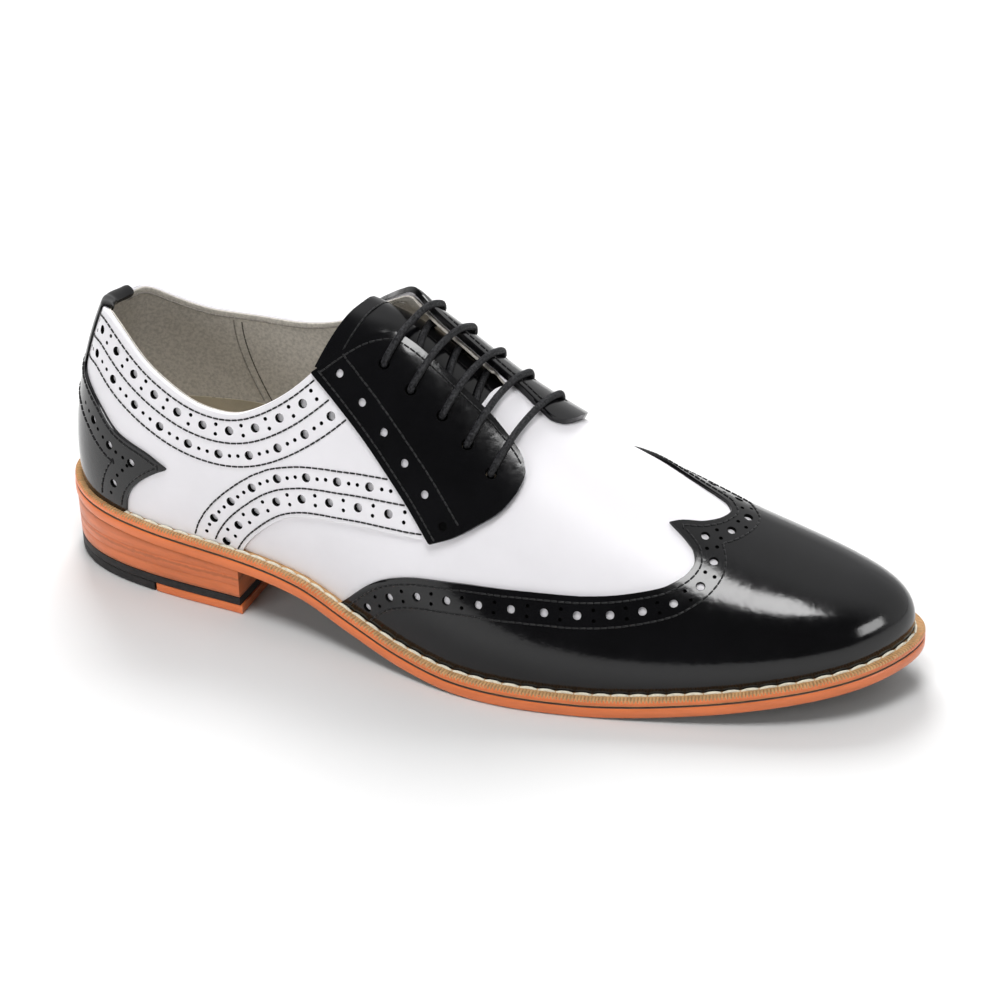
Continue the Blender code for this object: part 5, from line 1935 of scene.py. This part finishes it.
def studio_world():
    """A room that is pale behind the shoe and dark on the camera's side."""
    world = bpy.data.worlds.new("studio")
    world.use_nodes = True
    tree = world.node_tree
    where = node(tree, "ShaderNodeTexCoord", (-800, 0))
    parts = node(tree, "ShaderNodeSeparateXYZ", (-600, 0))
    ramp = node(tree, "ShaderNodeMapRange", (-400, 0))
    ramp.interpolation_type = "SMOOTHSTEP"
    ramp.inputs["From Min"].default_value = -0.30
    ramp.inputs["From Max"].default_value = 0.35
    ramp.inputs["To Min"].default_value = 0.06
    ramp.inputs["To Max"].default_value = 0.78
    tree.links.new(where.outputs["Generated"], parts.inputs["Vector"])
    tree.links.new(parts.outputs["Y"], ramp.inputs["Value"])
    tree.links.new(ramp.outputs["Result"], tree.nodes["Background"].inputs["Strength"])
    tree.nodes["Background"].inputs["Color"].default_value = (1, 1, 1, 1)
    return world


def make_stage():
    scene = bpy.context.scene
    deselect()
    bpy.ops.mesh.primitive_plane_add(size=8.0)
    floor = named("studio_floor")
    made = finish(
        "studio_paper", colour("floor"), darker(colour("floor"), 0.985), 0.8,
        tone_scale=3, grain=400, bump=0.02, specular=0.1,
    )
    floor.data.materials.append(made)
    scene.world = studio_world()
    soft_light("overhead_softbox", (0.31, -0.27, 1.19), (0.1, -0.03, 0.04), 0.38, 0.34, 6.0, lighting=False)
    soft_light("toe_softbox", (2.0, -0.32, 0.75), (0.1, 0.0, 0.05), 0.8, 0.7, 14.0, lighting=False)
    soft_light("overhead_fill", (0.1, -0.35, 1.2), (0.0, 0.0, 0.04), 0.5, 0.5, 8.4, mirrored=False)
    soft_light("rear_fill", (-0.5, 1.0, 1.2), (0.0, 0.0, 0.04), 0.7, 0.7, 24.0, mirrored=False)
    soft_light("front_fill", (-0.6, -1.4, 0.5), (0.0, 0.0, 0.05), 1.0, 0.6, 8.0, mirrored=False)
    lens = bpy.data.cameras.new("camera")
    lens.lens = CAMERA_LENS
    lens.sensor_width = 36.0
    lens.clip_start, lens.clip_end = 0.05, 50.0
    camera = bpy.data.objects.new("camera", lens)
    place, aim = ((np.array(point) - SHOE_ORIGIN) * MM for point in (CAMERA_PLACE, CAMERA_AIM))
    camera.location = place
    camera.rotation_euler = (Vector(aim) - Vector(place)).to_track_quat("-Z", "Y").to_euler()
    scene.collection.objects.link(camera)
    scene.camera = camera
    scene.view_settings.view_transform = "Standard"
    scene.view_settings.look = "None"


# Operators


class ShoeOperator:
    bl_options = {"REGISTER", "UNDO"}


class SHOE_OT_sole(ShoeOperator, bpy.types.Operator):
    """Makes the sole plate and the ribbed welt with its stitches"""

    bl_idname = "shoe.sole"
    bl_label = "Sole and welt"

    def execute(self, context):
        make_outsole()
        make_welt()
        sew_welt()
        return {"FINISHED"}


class SHOE_OT_heel(ShoeOperator, bpy.types.Operator):
    """Makes the stacked heel, its rubber and its front tip"""

    bl_idname = "shoe.heel"
    bl_label = "Heel"

    def execute(self, context):
        make_heel()
        return {"FINISHED"}


class SHOE_OT_footbed(ShoeOperator, bpy.types.Operator):
    """Makes the footbed's perforated cover"""

    bl_idname = "shoe.footbed"
    bl_label = "Footbed"

    def execute(self, context):
        make_sock()
        make_sock_edge()
        return {"FINISHED"}


class SHOE_OT_wall(ShoeOperator, bpy.types.Operator):
    """Makes the white vamp and the suede lining behind it"""

    bl_idname = "shoe.wall"
    bl_label = "Vamp and lining"

    def execute(self, context):
        hidden, showing = {"lateral": 0.012, "medial": 0.012}, {"lateral": 0.004, "medial": -0.003}
        vamp = make_wall("vamp", VAMP_BACK, 0.0, 56, "white_leather", -0.25, hidden, REBATE)
        add_piece(vamp, "white_leather", "upper")
        lining = make_wall("lining", -UPPER_WALL, LINING_FACE, 50, "lining_suede", -0.2, showing)
        add_piece(lining, "lining_leather")
        return {"FINISHED"}


class SHOE_OT_quarters(ShoeOperator, bpy.types.Operator):
    """Makes the two white quarters with their punched bands"""

    bl_idname = "shoe.quarters"
    bl_label = "Quarters"

    def execute(self, context):
        for side in SIDES:
            make_quarter(side)
        return {"FINISHED"}


class SHOE_OT_wing(ShoeOperator, bpy.types.Operator):
    """Makes the black wing tip with its punched edge"""

    bl_idname = "shoe.wing"
    bl_label = "Wing tip"

    def execute(self, context):
        make_wing()
        return {"FINISHED"}


class SHOE_OT_counter(ShoeOperator, bpy.types.Operator):
    """Makes the heel counter and the strap over the back seam"""

    bl_idname = "shoe.counter"
    bl_label = "Counter and back strap"

    def execute(self, context):
        make_counter()
        make_strap()
        return {"FINISHED"}


class SHOE_OT_facings(ShoeOperator, bpy.types.Operator):
    """Makes the two black facings with their lace holes"""

    bl_idname = "shoe.facings"
    bl_label = "Facings"

    def execute(self, context):
        for side in SIDES:
            make_facing(side)
        return {"FINISHED"}


class SHOE_OT_tongue(ShoeOperator, bpy.types.Operator):
    """Makes the leather tongue"""

    bl_idname = "shoe.tongue"
    bl_label = "Tongue"

    def execute(self, context):
        make_tongue()
        return {"FINISHED"}


class SHOE_OT_lace(ShoeOperator, bpy.types.Operator):
    """Runs the braided lace through the eyelets"""

    bl_idname = "shoe.lace"
    bl_label = "Lace"

    def execute(self, context):
        make_lace()
        return {"FINISHED"}


class SHOE_OT_seams(ShoeOperator, bpy.types.Operator):
    """Sews the upper and the lining"""

    bl_idname = "shoe.seams"
    bl_label = "Seams"

    def execute(self, context):
        sew_upper()
        return {"FINISHED"}


class SHOE_OT_stage(ShoeOperator, bpy.types.Operator):
    """Sets the floor, the soft lights and the camera"""

    bl_idname = "shoe.stage"
    bl_label = "Stage"

    def execute(self, context):
        make_stage()
        return {"FINISHED"}


STEPS = (
    SHOE_OT_sole, SHOE_OT_heel, SHOE_OT_footbed, SHOE_OT_wall,
    SHOE_OT_quarters, SHOE_OT_wing, SHOE_OT_counter,
    SHOE_OT_facings, SHOE_OT_tongue, SHOE_OT_lace, SHOE_OT_seams, SHOE_OT_stage,
)


class SHOE_PT_panel(bpy.types.Panel):
    """Lists the shoe's pieces, sizes and colours"""

    bl_idname = "SHOE_PT_panel"
    bl_label = "Wingtip Shoe"
    bl_space_type = "VIEW_3D"
    bl_region_type = "UI"
    bl_category = "Shoe"

    def draw(self, context):
        for step in STEPS:
            self.layout.operator(step.bl_idname)
        for group in (context.scene.shoe_sizes, context.scene.shoe_colours):
            box = self.layout.box()
            for name in group.__annotations__:
                box.prop(group, name)


CLASSES = (ShoeSizes, ShoeColours, *STEPS, SHOE_PT_panel)


def register():
    for each in CLASSES:
        bpy.utils.register_class(each)
    bpy.types.Scene.shoe_sizes = bpy.props.PointerProperty(type=ShoeSizes)
    bpy.types.Scene.shoe_colours = bpy.props.PointerProperty(type=ShoeColours)


def unregister():
    del bpy.types.Scene.shoe_colours
    del bpy.types.Scene.shoe_sizes
    for each in reversed(CLASSES):
        bpy.utils.unregister_class(each)


def main():
    register()
    bpy.ops.shoe.sole()
    bpy.ops.shoe.heel()
    bpy.ops.shoe.footbed()
    bpy.ops.shoe.wall()
    bpy.ops.shoe.quarters()
    bpy.ops.shoe.wing()
    bpy.ops.shoe.counter()
    bpy.ops.shoe.facings()
    bpy.ops.shoe.tongue()
    bpy.ops.shoe.lace()
    bpy.ops.shoe.seams()
    bpy.ops.shoe.stage()


if __name__ == "__main__":
    main()
